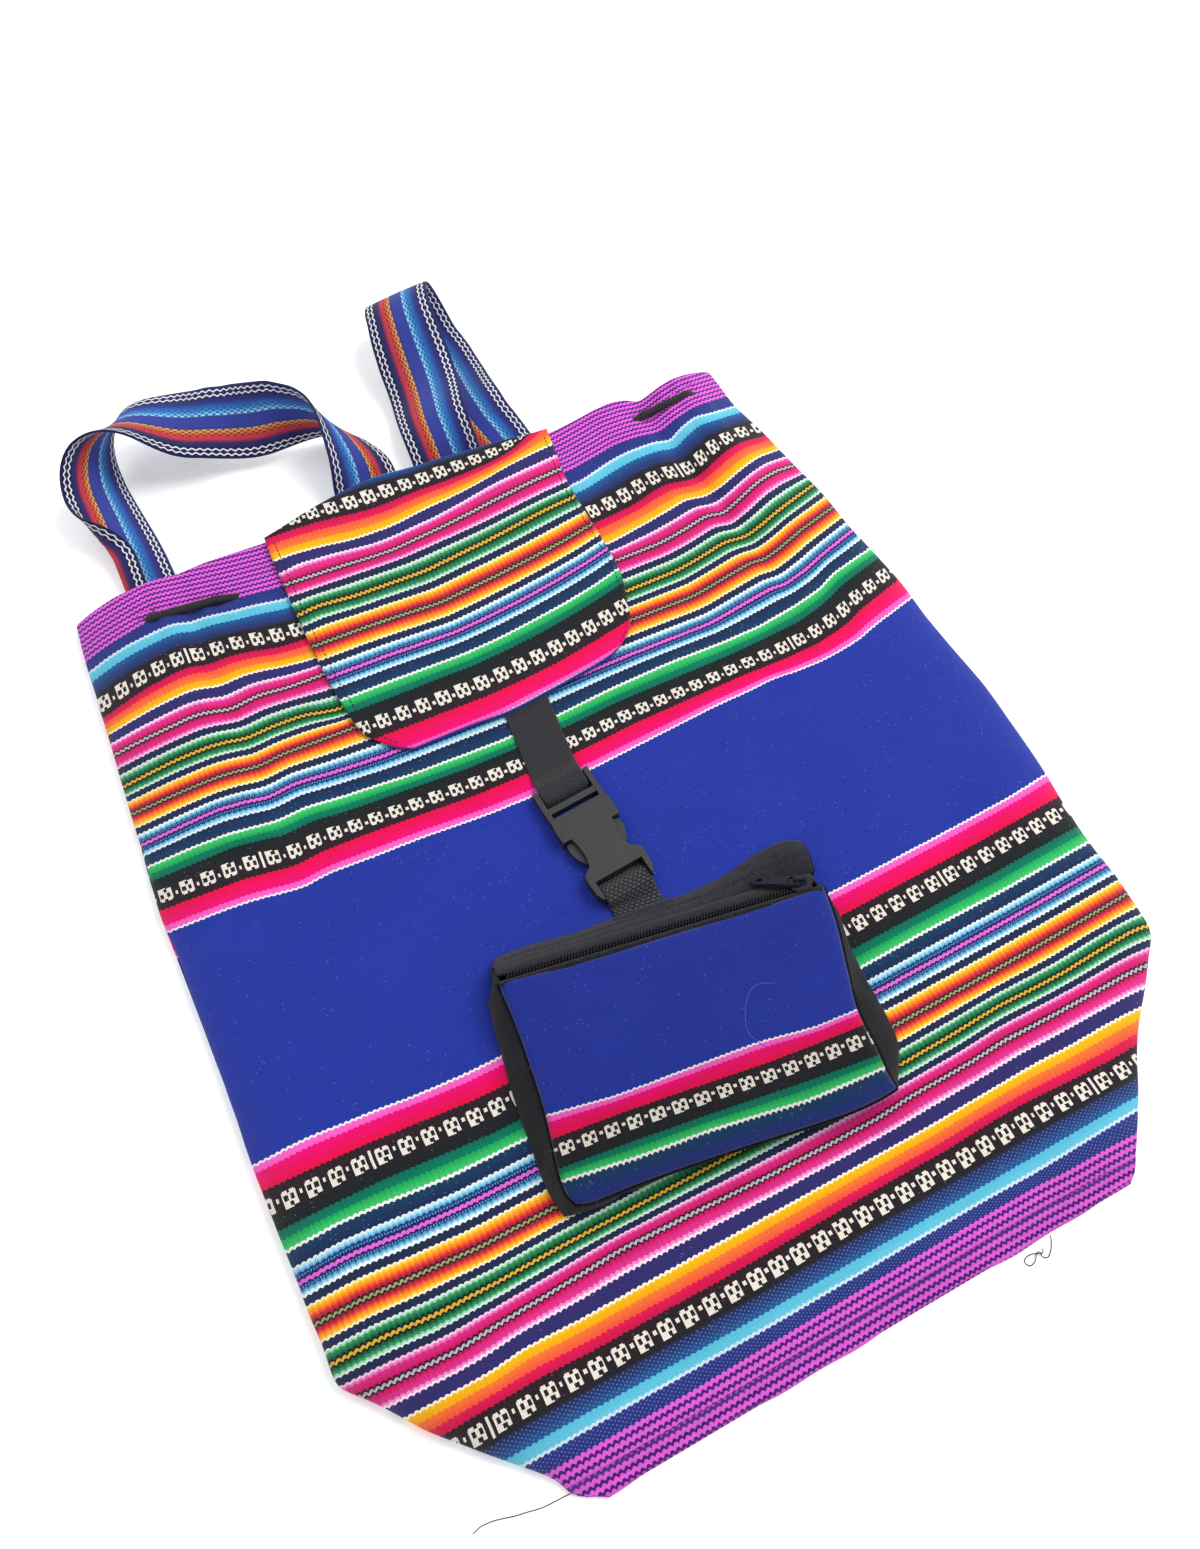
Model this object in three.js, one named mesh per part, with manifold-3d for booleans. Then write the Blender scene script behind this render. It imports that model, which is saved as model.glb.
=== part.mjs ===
// Drawstring backpack of striped woven cloth, empty and lying on its back.
// Millimetres. X runs across the bag, Y from the bottom seam to the mouth, Z up
// out of the front. Shapes are laid out with Y = 0 on the bottom seam, and the
// outer group moves the origin to the middle of the back panel's resting face.
import * as THREE from 'three';
import { mergeVertices } from 'three/addons/utils/BufferGeometryUtils.js';
import Module from 'manifold-3d';

const wasm = await Module();
wasm.setup();

// ---- driving dimensions -------------------------------------------------
const ORIGIN_Y = 250; // middle of the back panel above the bottom seam
const CLOTH = 1.4; // woven cloth with its seam allowances
const BODY_TOP = 17; // crown of the empty body above the floor
const RIM = 45; // width of the rounded rim along the seams
const EDGE_Z = 1.7; // underside of the front cloth at the seams
const BACK_TOP_Y = 492; // rear edge of the mouth
const STRAP_T = 1.8; // shoulder strap band, thickness
const STRAP_HALF = 20.5; // shoulder strap band, half width
const STRAP_Z = 1.2; // mid height of a strap lying on the floor
const STRAP_START_Y = 468; // sewn start of both straps
const STRAP_END_Y = 70; // sewn end of both straps
const GROOVE_Z = 2.5; // back cloth lifted over a strap
const CORD_R = 2.25; // drawcord radius
const WEB_HALF = 12.4; // webbing half width (25 mm webbing)
const WEB_T = 1.3;
const BUCKLE_AT = [-9.3, 262]; // parting line of the two buckle halves
const BUCKLE_TURN = 4.2; // degrees
const POCKET_AT = [-5.75, 183.1]; // middle of the pocket front's top edge
const POCKET_TURN = -9.6; // degrees
const POCKET_HALF = 75;
const POCKET_LONG = 96.2;
const POCKET_Z_TOP = 21; // front panel above the bag, along its top edge
const POCKET_Z_BOTTOM = 13; // and along its bottom edge
const BAND_RUN = 24; // zip band, run in plan from pocket front to bag
const PULL_TURN = 36; // pull tab lies askew on the slider, degrees
const PULL_DROP = 3; // and its free end rests on the zip band, degrees
const SLIDER_X = 68.2; // slider at the closed end

// Outline of the body: [Y, left X, right X] from the bottom seam to the mouth.
const OUTLINE = [
  [0, -131.7, 133], [82, -207, 207.5], [128, -206.7, 209.7], [178, -207, 213.5],
  [236, -208, 213.4], [300, -208.6, 212.4], [352, -206, 210], [402, -203, 202.5],
  [448, -201, 197.5], [492, -200.5, 197.5],
];
// Front edge of the mouth, [X, Y]: a soft wave, lower at the corners.
const MOUTH = [
  [-210, 487], [-200.5, 489], [-166, 501.5], [-127, 499], [-92, 491], [0, 489],
  [92, 491], [115, 497.5], [145, 502.5], [184, 498.5], [197.5, 490], [212, 487],
];

// Shoulder straps above the mouth: both long edges of the band at even steps.
// Each row: edge on the light blue side, then edge on the red side.
const STRAP_LEFT = [
  [-44.5, 485.0, 1.2, -3.5, 485.0, 1.2], [-44.5, 493.0, 1.2, -3.5, 493.0, 1.2],
  [-44.5, 501.0, 1.5, -3.5, 501.0, 1.2], [-44.2, 507.1, 6.9, -3.6, 509.1, 1.2],
  [-42.9, 511.8, 13.5, -3.9, 517.1, 1.6], [-41.1, 515.8, 20.4, -4.2, 524.7, 4.5],
  [-39.4, 520.6, 26.8, -6.2, 532.4, 5.8], [-38.2, 526.7, 32.2, -9.5, 539.8, 6.0],
  [-37.2, 533.5, 36.8, -13.7, 546.9, 6.0], [-36.3, 540.6, 40.7, -19.1, 553.0, 5.7],
  [-36.2, 548.3, 43.6, -25.9, 557.6, 5.1], [-37.6, 556.1, 45.2, -33.6, 560.2, 4.7],
  [-41.4, 563.3, 45.7, -41.8, 561.1, 4.8], [-46.9, 569.2, 45.5, -49.9, 560.7, 5.4],
  [-54.1, 572.8, 45.2, -57.9, 559.4, 6.6], [-60.9, 577.0, 44.0, -65.9, 558.4, 7.7],
  [-66.3, 582.4, 41.4, -74.0, 559.0, 8.5], [-71.1, 588.1, 38.3, -81.8, 561.1, 9.2],
  [-77.0, 593.1, 35.8, -89.5, 562.3, 11.7], [-84.2, 596.5, 35.0, -96.9, 562.8, 15.2],
  [-91.2, 600.0, 32.8, -104.3, 563.8, 18.3], [-97.5, 603.4, 29.2, -111.9, 566.0, 20.4],
  [-104.3, 606.7, 26.4, -118.8, 568.3, 24.0], [-111.8, 609.6, 25.7, -124.8, 570.7, 29.1],
  [-119.4, 612.0, 27.1, -130.2, 573.1, 34.7], [-127.2, 613.4, 26.2, -135.7, 575.7, 40.1],
  [-134.6, 612.9, 22.9, -142.3, 578.6, 44.0], [-140.6, 610.2, 18.2, -149.8, 581.2, 45.5],
  [-145.1, 605.6, 13.2, -157.8, 582.8, 44.7], [-148.0, 599.5, 8.7, -165.4, 583.0, 41.9],
  [-149.3, 592.2, 5.3, -171.9, 581.0, 37.6], [-149.6, 584.3, 3.1, -176.9, 577.0, 32.8],
  [-149.4, 576.3, 1.7, -180.2, 571.1, 28.4], [-148.6, 568.3, 1.2, -181.7, 563.9, 25.2],
  [-147.7, 560.2, 1.2, -181.9, 556.1, 23.4], [-146.8, 552.2, 1.2, -182.1, 548.3, 21.6],
  [-145.9, 544.2, 1.2, -182.4, 540.6, 19.6], [-145.0, 536.1, 1.5, -182.8, 532.9, 17.3],
  [-144.3, 528.1, 1.7, -183.1, 525.4, 14.7], [-143.8, 520.0, 1.7, -183.6, 518.0, 11.6],
  [-143.6, 511.9, 1.4, -184.0, 510.8, 8.1], [-143.4, 503.8, 1.2, -184.3, 503.7, 4.4],
  [-143.5, 495.7, 1.2, -184.5, 496.3, 1.3], [-143.6, 487.6, 1.2, -184.6, 488.4, 1.2],
  [-143.7, 479.5, 1.2, -184.7, 480.5, 1.2], [-143.8, 471.5, 1.2, -184.8, 472.5, 1.2],
];
const STRAP_RIGHT = [
  [41.0, 485.0, 1.2, 0.0, 485.0, 1.2], [41.1, 493.0, 1.2, 0.1, 493.2, 1.2],
  [41.2, 500.8, 1.2, 0.2, 501.2, 1.4], [41.4, 506.6, 6.6, 0.4, 508.4, 5.1],
  [41.4, 511.0, 13.3, 0.8, 515.6, 9.0], [41.1, 515.4, 19.9, 1.6, 523.1, 12.0],
  [41.2, 521.3, 25.4, 3.1, 530.9, 13.3], [42.1, 528.7, 28.2, 5.4, 538.6, 12.8],
  [44.2, 536.4, 28.1, 8.0, 546.1, 11.5], [46.9, 543.8, 26.6, 10.6, 553.6, 10.3],
  [49.6, 551.2, 25.0, 12.5, 561.3, 10.7], [51.8, 558.9, 24.7, 13.9, 569.0, 12.8],
  [53.2, 566.6, 26.5, 14.8, 576.3, 16.0], [54.2, 573.9, 29.7, 15.5, 583.3, 19.8],
  [54.9, 580.9, 33.5, 16.2, 590.3, 23.6], [55.7, 587.9, 37.2, 17.2, 597.5, 26.9],
  [56.7, 595.3, 40.2, 18.4, 605.0, 29.3], [58.3, 603.0, 41.4, 20.1, 612.8, 30.3],
  [60.6, 610.6, 40.2, 22.5, 620.2, 28.6], [63.4, 617.0, 36.4, 25.4, 625.9, 23.8],
  [66.4, 621.2, 30.3, 28.4, 628.3, 16.7], [69.2, 622.1, 22.8, 30.7, 626.4, 9.3],
  [71.4, 619.4, 15.6, 32.1, 620.6, 3.9], [72.9, 614.0, 9.9, 32.7, 613.0, 1.5],
  [73.8, 606.9, 6.1, 33.1, 605.0, 1.2], [74.4, 599.3, 3.7, 33.5, 597.0, 1.2],
  [74.9, 591.4, 2.3, 34.0, 589.0, 1.2], [75.4, 583.5, 1.7, 34.5, 581.0, 1.2],
  [75.9, 575.5, 2.2, 35.0, 573.0, 1.2], [76.4, 567.7, 3.8, 35.6, 565.0, 1.4],
  [76.9, 560.0, 6.0, 36.2, 557.0, 1.9], [77.4, 552.4, 8.4, 36.9, 549.0, 2.6],
  [78.0, 544.6, 10.3, 37.8, 541.1, 3.1], [79.0, 536.7, 10.6, 38.8, 533.1, 3.4],
  [80.2, 528.9, 9.0, 39.8, 525.1, 3.3], [81.5, 521.5, 6.3, 40.9, 517.1, 2.8],
  [82.6, 514.1, 3.3, 42.0, 509.1, 2.2], [83.6, 506.4, 1.4, 43.0, 501.2, 1.4],
  [84.5, 498.5, 1.2, 43.9, 493.2, 1.2], [85.4, 490.6, 1.2, 44.7, 485.3, 1.2],
  [86.2, 482.7, 1.2, 45.5, 477.3, 1.2], [87.0, 474.7, 1.2, 46.3, 469.4, 1.2],
];
const STRAP_LEFT_END = [-147, STRAP_END_Y]; // sewn ends near the bottom corners
const STRAP_RIGHT_END = [133.5, STRAP_END_Y];

// ---- helpers ------------------------------------------------------------
const lerp = (a, b, t) => a + (b - a) * t;
const clamp = (v, a, b) => Math.min(b, Math.max(a, v));
const rad = THREE.MathUtils.degToRad;

function table(rows, key, col) {
  let i = 0;
  while (i < rows.length - 2 && key > rows[i + 1][0]) i += 1;
  const t = clamp((key - rows[i][0]) / (rows[i + 1][0] - rows[i][0]), 0, 1);
  return lerp(rows[i][col], rows[i + 1][col], t);
}
const leftX = (y) => table(OUTLINE, y, 1);
const rightX = (y) => table(OUTLINE, y, 2);
const mouthY = (x) => table(MOUTH, x, 1);

function weld(geometry) {
  const g = geometry.clone();
  for (const name of ['normal', 'uv', 'uv1', 'uv2']) g.deleteAttribute(name);
  return mergeVertices(g, 1e-4);
}
// A block bent into shape: grid lines us by vs, two faces w = 0 and w = 1.
function bent(us, vs, place) {
  const nu = us.length - 1;
  const nv = vs.length - 1;
  const g = weld(new THREE.BoxGeometry(1, 1, 1, nu, nv, 1));
  const p = g.attributes.position;
  for (let k = 0; k < p.count; k += 1) {
    const i = Math.round((p.getX(k) + 0.5) * nu);
    const j = Math.round((p.getY(k) + 0.5) * nv);
    p.setXYZ(k, ...place(us[i], vs[j], p.getZ(k) > 0 ? 1 : 0, i, j));
  }
  return g;
}
function prism(points, z0, z1) {
  const shape = points instanceof THREE.Shape ? points : new THREE.Shape(points.map((p) => new THREE.Vector2(...p)));
  const g = new THREE.ExtrudeGeometry(shape, { depth: z1 - z0, bevelEnabled: false, curveSegments: 6 });
  g.translate(0, 0, z0);
  return g;
}
function block(x0, x1, y0, y1, z0, z1) {
  const g = new THREE.BoxGeometry(x1 - x0, y1 - y0, z1 - z0);
  g.translate((x0 + x1) / 2, (y0 + y1) / 2, (z0 + z1) / 2);
  return g;
}
function solid(geometry) {
  const g = weld(geometry);
  return new wasm.Manifold(new wasm.Mesh({
    numProp: 3,
    vertProperties: new Float32Array(g.attributes.position.array),
    triVerts: new Uint32Array(g.index.array),
  }));
}
function surface(manifold) {
  const m = manifold.getMesh();
  const g = new THREE.BufferGeometry();
  g.setAttribute('position', new THREE.BufferAttribute(new Float32Array(m.vertProperties), 3));
  g.setIndex(new THREE.BufferAttribute(new Uint32Array(m.triVerts), 1));
  return g;
}
const join = (first, ...rest) => rest.reduce((a, g) => a.add(solid(g)), solid(first));
const cut = (body, ...rest) => rest.reduce((a, g) => a.subtract(solid(g)), body);

function part(parent, name, geometry, color, roughness = 0.9, metalness = 0) {
  const g = weld(geometry);
  g.computeVertexNormals();
  const mesh = new THREE.Mesh(g, new THREE.MeshStandardMaterial({ color, roughness, metalness }));
  mesh.name = name;
  parent.add(mesh);
  return mesh;
}

// ---- frame of the object ------------------------------------------------
const bag = new THREE.Group();
const layout = new THREE.Group();
layout.position.set(0, -ORIGIN_Y, 0);
bag.add(layout);

const BLUE = 0x2b3ba8;
const STRIPE = 0x7a3a6a;
const BLACK = 0x1d1d20;

// ---- body: front and back cloth ----------------------------------------
function seamDistance(x, y) {
  const low = OUTLINE[0];
  const bend = OUTLINE[1];
  const side = Math.min(x - leftX(y), rightX(y) - x);
  const diagonal = (sign) => {
    const ax = sign < 0 ? low[1] : low[2];
    const bx = sign < 0 ? bend[1] : bend[2];
    const len = Math.hypot(bx - ax, bend[0]);
    return (sign * (ax - x) * bend[0] + sign * (bx - ax) * y) / len;
  };
  const d = y < bend[0] + RIM ? Math.min(diagonal(-1), diagonal(1)) : side;
  return Math.max(0, Math.min(side, d, y));
}
const crown = (d) => EDGE_Z + (BODY_TOP - CLOTH - EDGE_Z) * Math.sin((clamp(d / RIM, 0, 1) * Math.PI) / 2);

const frontRows = [0, 12, 26, 45, 64, 82, 105, 150, 210, 280, 350, 410, 455, 480, 1000];
const inset = [0, 12, 26, 45];
const frontCols = [...inset.map((d) => ['l', d]), ...[0.14, 0.3, 0.45, 0.55, 0.7, 0.86].map((t) => ['m', t]), ...[...inset].reverse().map((d) => ['r', d])];
const frontRaw = bent(frontCols, frontRows, ([kind, d], row, w) => {
  const y0 = Math.min(row, 488);
  const lx = leftX(y0);
  const rx = rightX(y0);
  const slant = y0 < 82 ? 1.3 : 1; // rim measured square to the slanted corner
  let x = lerp(lx + RIM * slant, rx - RIM * slant, kind === 'm' ? d : 0);
  if (kind === 'l') x = lx + d * slant;
  if (kind === 'r') x = rx - d * slant;
  const y = row > 900 ? mouthY(x) : row;
  return [x, y, crown(seamDistance(x, Math.min(y, 488))) + w * CLOTH];
});

// Drawcord: one loop, in and out of the front cloth, along the inside of the back.
const topAt = (x, y) => crown(seamDistance(x, y)) + CLOTH;
const outside = (x, y) => new THREE.Vector3(x, y, topAt(x, y) + CORD_R + 0.5);
const inside = (x, y) => new THREE.Vector3(x, y, topAt(x, y) - CLOTH - CORD_R - 0.6);
const through = (x, y) => new THREE.Vector3(x, y, topAt(x, y) - CLOTH / 2);
const at = (x, y, z) => new THREE.Vector3(x, y, z);
const cordPath = new THREE.CatmullRomCurve3([
  inside(0, 468), inside(-40, 465), inside(-80, 463), inside(-108, 463.5), through(-120, 464.6),
  outside(-129, 466), outside(-142, 468), outside(-154, 470), through(-165.5, 471.5), at(-173.5, 471.5, 9.4),
  at(-180, 466.5, 7.2), at(-174, 461, 6.7), at(-150, 459.5, 6.7), at(-75, 459.5, 6.7), at(0, 460, 6.7),
  at(75, 461, 6.7), at(150, 462, 6.7), at(171, 464.5, 6.7), at(177.5, 471.5, 7.2), at(171, 478.5, 9.4),
  through(163, 480), outside(152, 479.5), outside(144, 478.6), outside(136, 477.5), through(127, 476),
  inside(115, 475), inside(80, 473), inside(40, 470.5),
], true, 'centripetal');
const cord = new THREE.TubeGeometry(cordPath, 110, CORD_R, 8, true);
const cordSlits = new THREE.TubeGeometry(cordPath, 110, CORD_R + 0.45, 8, true);
part(layout, 'front_panel', surface(cut(solid(frontRaw), cordSlits)), STRIPE);
part(layout, 'drawcord', cord, 0x121214);

// Straight hidden runs of the straps, from the mouth to the bottom corners.
const lastOf = (rows) => rows[rows.length - 1];
const middle = (r) => [(r[0] + r[3]) / 2, (r[1] + r[4]) / 2];
const leftFrom = middle(lastOf(STRAP_LEFT));
const rightFrom = middle(lastOf(STRAP_RIGHT));
const runX = (from, to, y) => lerp(from[0], to[0], (from[1] - y) / (from[1] - to[1]));

// Back cloth: flat on the floor, lifted over the two straps that lie under it.
const backRows = [0, 30, 56, 63, 82, 130, 210, 290, 370, 440, 452, 460, BACK_TOP_Y];
const backCols = [0, 1, 2, 3, 4, 5, 6, 7, 8, 9];
function backColumns(y) {
  const yy = Math.max(y, 56);
  const l = runX(leftFrom, STRAP_LEFT_END, yy);
  const r = runX(rightFrom, STRAP_RIGHT_END, yy);
  const near = STRAP_HALF + 2;
  const far = near + 6;
  const startLeft = y > 455 ? Math.min(r - near, -47) : r - near;
  const xs = [leftX(yy), l - far, l - near, l + near, l + far, startLeft - 6, startLeft, r + near, r + far, rightX(yy)];
  if (y >= 56) return xs;
  return xs.map((x) => lerp(leftX(y), rightX(y), (x - xs[0]) / (xs[9] - xs[0])));
}
part(layout, 'back_panel', bent(backCols, backRows, (c, y, w) => {
  const lifted = y > 60 && (c === 2 || c === 3 || c === 6 || c === 7);
  return [backColumns(y)[c], y, (lifted ? GROOVE_Z : 0) + w * (CLOTH - 0.2)];
}), STRIPE);

// ---- shoulder straps ----------------------------------------------------
function strap(rows, end) {
  const first = rows[0];
  const stations = [];
  const row = (a, b) => stations.push([new THREE.Vector3(...a), new THREE.Vector3(...b)]);
  const from = middle(lastOf(rows));
  row([first[0], STRAP_START_Y, STRAP_Z], [first[3], STRAP_START_Y, STRAP_Z]);
  for (const r of rows) row(r.slice(0, 3), r.slice(3));
  const along = new THREE.Vector2(end[0] - from[0], end[1] - from[1]).normalize();
  // The band has been turned over once or twice, so its sides swap as it runs.
  const last = lastOf(rows);
  const flip = Math.sign(last[3] - last[0]);
  const across = new THREE.Vector2(-along.y, along.x).multiplyScalar(STRAP_HALF * flip);
  for (const t of [0.06, 0.25, 0.5, 0.75, 1]) {
    const x = lerp(from[0], end[0], t);
    const y = lerp(from[1], end[1], t);
    row([x - across.x, y - across.y, STRAP_Z], [x + across.x, y + across.y, STRAP_Z]);
  }
  const n = stations.length;
  const normals = stations.map(([a, b], i) => {
    const [a0, b0] = stations[Math.max(0, i - 1)];
    const [a1, b1] = stations[Math.min(n - 1, i + 1)];
    const t = a1.clone().add(b1).sub(a0).sub(b0);
    return t.cross(b.clone().sub(a)).normalize();
  });
  const us = stations.map((_, i) => i);
  return bent(us, [0, 1], (i, v, w) => {
    const p = stations[i][0].clone().lerp(stations[i][1], v);
    return p.addScaledVector(normals[i], (w - 0.5) * STRAP_T).toArray();
  });
}
part(layout, 'strap_left', strap(STRAP_LEFT, STRAP_LEFT_END), 0x2a3f8c);
part(layout, 'strap_right', strap(STRAP_RIGHT, STRAP_RIGHT_END), 0x2a3f8c);

// ---- flap ---------------------------------------------------------------
// Profile in Y and Z: sewn inside the rear of the mouth, up over it, down the front.
function flapPlan(grow) {
  const s = new THREE.Shape();
  const g = grow;
  s.moveTo(-88 - g, 520);
  s.lineTo(-90.6 - g, 376);
  s.bezierCurveTo(-90 - g, 352 - g, -82 - g, 334 - g, -66, 333 - g);
  s.lineTo(36, 334.5 - g);
  s.bezierCurveTo(56 + g, 336 - g, 70 + g, 352 - g, 73 + g, 370);
  s.lineTo(79.6 + g, 426);
  s.lineTo(87 + g, 520);
  s.closePath();
  return s;
}
function sheetAlongX(profile, half) {
  const g = new THREE.ExtrudeGeometry(new THREE.Shape(profile.map((p) => new THREE.Vector2(...p))), { depth: 2 * half, bevelEnabled: false });
  g.translate(0, 0, -half);
  // extruded along the profile's own normal: turn it so that it spans X
  g.applyMatrix4(new THREE.Matrix4().set(0, 0, 1, 0, 1, 0, 0, 0, 0, 1, 0, 0, 0, 0, 0, 1));
  return g;
}
const flapOuter = sheetAlongX([
  [470, 4.2], [502, 4.2], [502, 17.5], [501.2, 18.9], [499.6, 19.7], [325, 21.6],
  [325, 20.4], [499.3, 18.5], [500.2, 18], [500.8, 17], [500.8, 5.4], [470, 5.4],
], 110);
const flapInner = sheetAlongX([
  [472, 5.7], [500.5, 5.7], [500.5, 16.8], [500, 17.7], [499.1, 18.2], [325, 20.1],
  [325, 19.4], [498.9, 17.45], [499.4, 17.1], [499.7, 16.5], [499.7, 6.5], [472, 6.5],
], 110);
part(layout, 'flap', surface(solid(flapOuter).intersect(solid(prism(flapPlan(0), -5, 40)))), STRIPE);
part(layout, 'flap_lining', surface(solid(flapInner).intersect(solid(prism(flapPlan(-2), -5, 40)))), BLUE);

// ---- webbing and side release buckle -----------------------------------
const closure = new THREE.Group();
closure.position.set(BUCKLE_AT[0], BUCKLE_AT[1], BODY_TOP + 0.3);
closure.rotation.z = rad(BUCKLE_TURN);
layout.add(closure);

// Strip profile: [along Y, underside Z]; it leans sideways by lean(y).
function webbing(stations, lean) {
  return bent([-1, -0.5, 0, 0.5, 1], stations.map((_, i) => i), (u, j, w) => {
    const [y0, z, skew = 0] = stations[j];
    const y = y0 + u * skew;
    const a = stations[Math.max(0, j - 1)];
    const b = stations[Math.min(stations.length - 1, j + 1)];
    const len = Math.hypot(b[0] - a[0], b[1] - a[1]);
    const ny = -(b[1] - a[1]) / len;
    const nz = (b[0] - a[0]) / len;
    return [u * WEB_HALF + lean(y), y + ny * w * WEB_T, z + nz * w * WEB_T];
  });
}
part(closure, 'webbing_upper', webbing([
  [10.2, 0.3], [10.9, 3.0], [12.2, 4.3], [14.5, 4.65], [18.5, 4.65], [20.5, 4.1], [25, 1.4], [28, 0.25], [34, 0], [70, 0], [116, 0],
], (y) => Math.max(0, y - 18) * 0.163), BLACK);
part(closure, 'webbing_lower', webbing([
  [-54.3, 0.05, -3.1], [-51.6, 0.3, -2], [-49.6, 2.7, -0.6], [-48.4, 4.2], [-46.6, 4.65], [-43.5, 4.65], [-42.0, 4.0], [-41.2, 2.4], [-40.9, 0.4],
], () => 0), BLACK);

const bothSides = (make) => [make(1), make(-1)];
function arm(side) {
  const pts = [
    [8.2, -4.5], [11.6, -4.5], [11.9, -12.8], [14.6, -13.6], [15.0, -17.5], [13.6, -22.5], [11.0, -26.5], [9.4, -26.5], [8.6, -20],
  ].map(([x, y]) => [x * side, y]);
  return prism(side > 0 ? pts.reverse() : pts, 2.6, 5.6);
}
const male = join(
  block(-13.3, 13.3, -6, 1.9, 2.6, 5.6), // base inside the socket's mouth
  block(12.9, 15.6, 0.3, 18.6, 1.0, 6.4), // frame rails
  block(-15.6, -12.9, 0.3, 18.6, 1.0, 6.4),
  block(-13.3, 13.3, 0.8, 1.9, 2.0, 6.2),
  block(-13.2, 13.2, 15.4, 18.6, 1.0, 4.3), // end bar under the webbing
  block(-13.2, 13.2, 4.6, 7.8, 1.6, 6.0), // slotted bar
  block(-1.8, 1.8, -21, -5, 2.6, 5.6), // centre guide
  ...bothSides(arm),
);
part(closure, 'buckle_male', surface(male), 0x39393b, 0.5);

const femalePlan = [
  [-15.6, 0], [-16.1, -6], [-15.7, -12.3], [-11.3, -12.3], [-10.2, -17], [-9.8, -24], [-11.2, -29.2], [-13.4, -30.6], [-15.5, -32.4],
  [-15.9, -36], [-15.4, -43], [-13.8, -46.5], [-12.2, -47.2],
];
const femaleOutline = [...femalePlan, ...[...femalePlan].reverse().map(([x, y]) => [-x, y])];
const female = cut(
  solid(prism(femaleOutline, 0.0, 8.2)),
  block(-13.7, 13.7, -11.5, 1, 2.2, 6.0), // socket mouth
  block(-12.1, 12.1, -28, -11, 2.2, 6.0), // socket for the arms and the guide
  block(-12.8, 12.8, -43.2, -37.2, -1, 9), // webbing slot
  block(-12.8, 12.8, -49, -43.0, 4.35, 9), // end bar sits low between the ears
);
part(closure, 'buckle_female', surface(female), 0x3a3a3c, 0.5);

// ---- pocket -------------------------------------------------------------
const pocket = new THREE.Group();
pocket.position.set(POCKET_AT[0], POCKET_AT[1], BODY_TOP);
pocket.rotation.z = rad(POCKET_TURN);
layout.add(pocket);

const frontZ = (y) => lerp(POCKET_Z_BOTTOM, POCKET_Z_TOP, clamp(1 + y / POCKET_LONG, 0, 1));
part(pocket, 'pocket_front', bent([-1, 0, 1], [-POCKET_LONG, -POCKET_LONG / 2, 0], (u, y, w) => [u * POCKET_HALF, y, frontZ(y) + w * CLOTH]), BLUE);

// Gusset: one strip down the left side, along the bottom and up the right side.
const bandZ = (y) => POCKET_Z_TOP * (1 - y / BAND_RUN);
const gussetStations = [
  // base x, base y, top x, top y, top z
  [-82, 21.6, -78, 19.6, bandZ(19.6) - 1.5],
  [-83, 12, -76.5, 8, bandZ(8) - 2.4],
  [-83.5, -2, -74.5, -2, frontZ(-2) - 0.4],
  [-84, -50, -74.5, -50, frontZ(-50) - 0.4],
  [-82, -84.6, -74.5, -90.2, frontZ(-90.2) - 0.4],
  [-76, -89.4, -70, -94.7, frontZ(-94.7) - 0.4],
  [76, -89.4, 70, -94.7, frontZ(-94.7) - 0.4],
  [83, -84.6, 74.5, -90.2, frontZ(-90.2) - 0.4],
  [86, -50, 74.5, -50, frontZ(-50) - 0.4],
  [85, -2, 74.5, -2, frontZ(-2) - 0.4],
  [84.5, 12, 76.5, 8, bandZ(8) - 2.4],
  [83.5, 21.6, 78, 19.6, bandZ(19.6) - 1.5],
];
part(pocket, 'pocket_gusset', bent(gussetStations.map((_, i) => i), [0, 0.5, 1], (i, h, w) => {
  const [bx, by, tx, ty, tz] = gussetStations[i];
  const n = gussetStations.length;
  const a = gussetStations[Math.max(0, i - 1)];
  const b = gussetStations[Math.min(n - 1, i + 1)];
  const dx = lerp(b[0] - a[0], b[2] - a[2], h);
  const dy = lerp(b[1] - a[1], b[3] - a[3], h);
  const len = Math.hypot(dx, dy);
  const out = (w - 1) * CLOTH;
  return [lerp(bx, tx, h) + (dy / len) * out, lerp(by, ty, h) - (dx / len) * out, lerp(0.3, tz, h)];
}), BLACK);

// Zip band and zipper lie on the slope from the pocket front down to the bag.
const slope = new THREE.Group();
slope.position.set(0, 0, POCKET_Z_TOP);
slope.rotation.x = -Math.atan2(POCKET_Z_TOP, BAND_RUN);
pocket.add(slope);
const SLOPE_LONG = Math.hypot(POCKET_Z_TOP, BAND_RUN);
part(slope, 'zipper_tape_lower', block(-74, 74, 0.5, 1.7, 0, 0.8), 0x17171a);
part(slope, 'zipper_coil_lower', block(-73, 73, 2.0, 3.9, 0, 1.8), 0x1b1b1d);
part(slope, 'zipper_coil_upper', block(-73, 73, 4.2, 6.1, 0, 1.8), 0x1b1b1d);
part(slope, 'zipper_tape_upper', block(-74, 74, 6.4, 14.6, 0, 0.8), 0x17171a);
part(slope, 'pocket_zip_band', prism([[-75.5, 14.9], [75.5, 14.9], [80, SLOPE_LONG - 1.8], [-80, SLOPE_LONG - 1.8]], 0, 1.2), BLACK);

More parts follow.
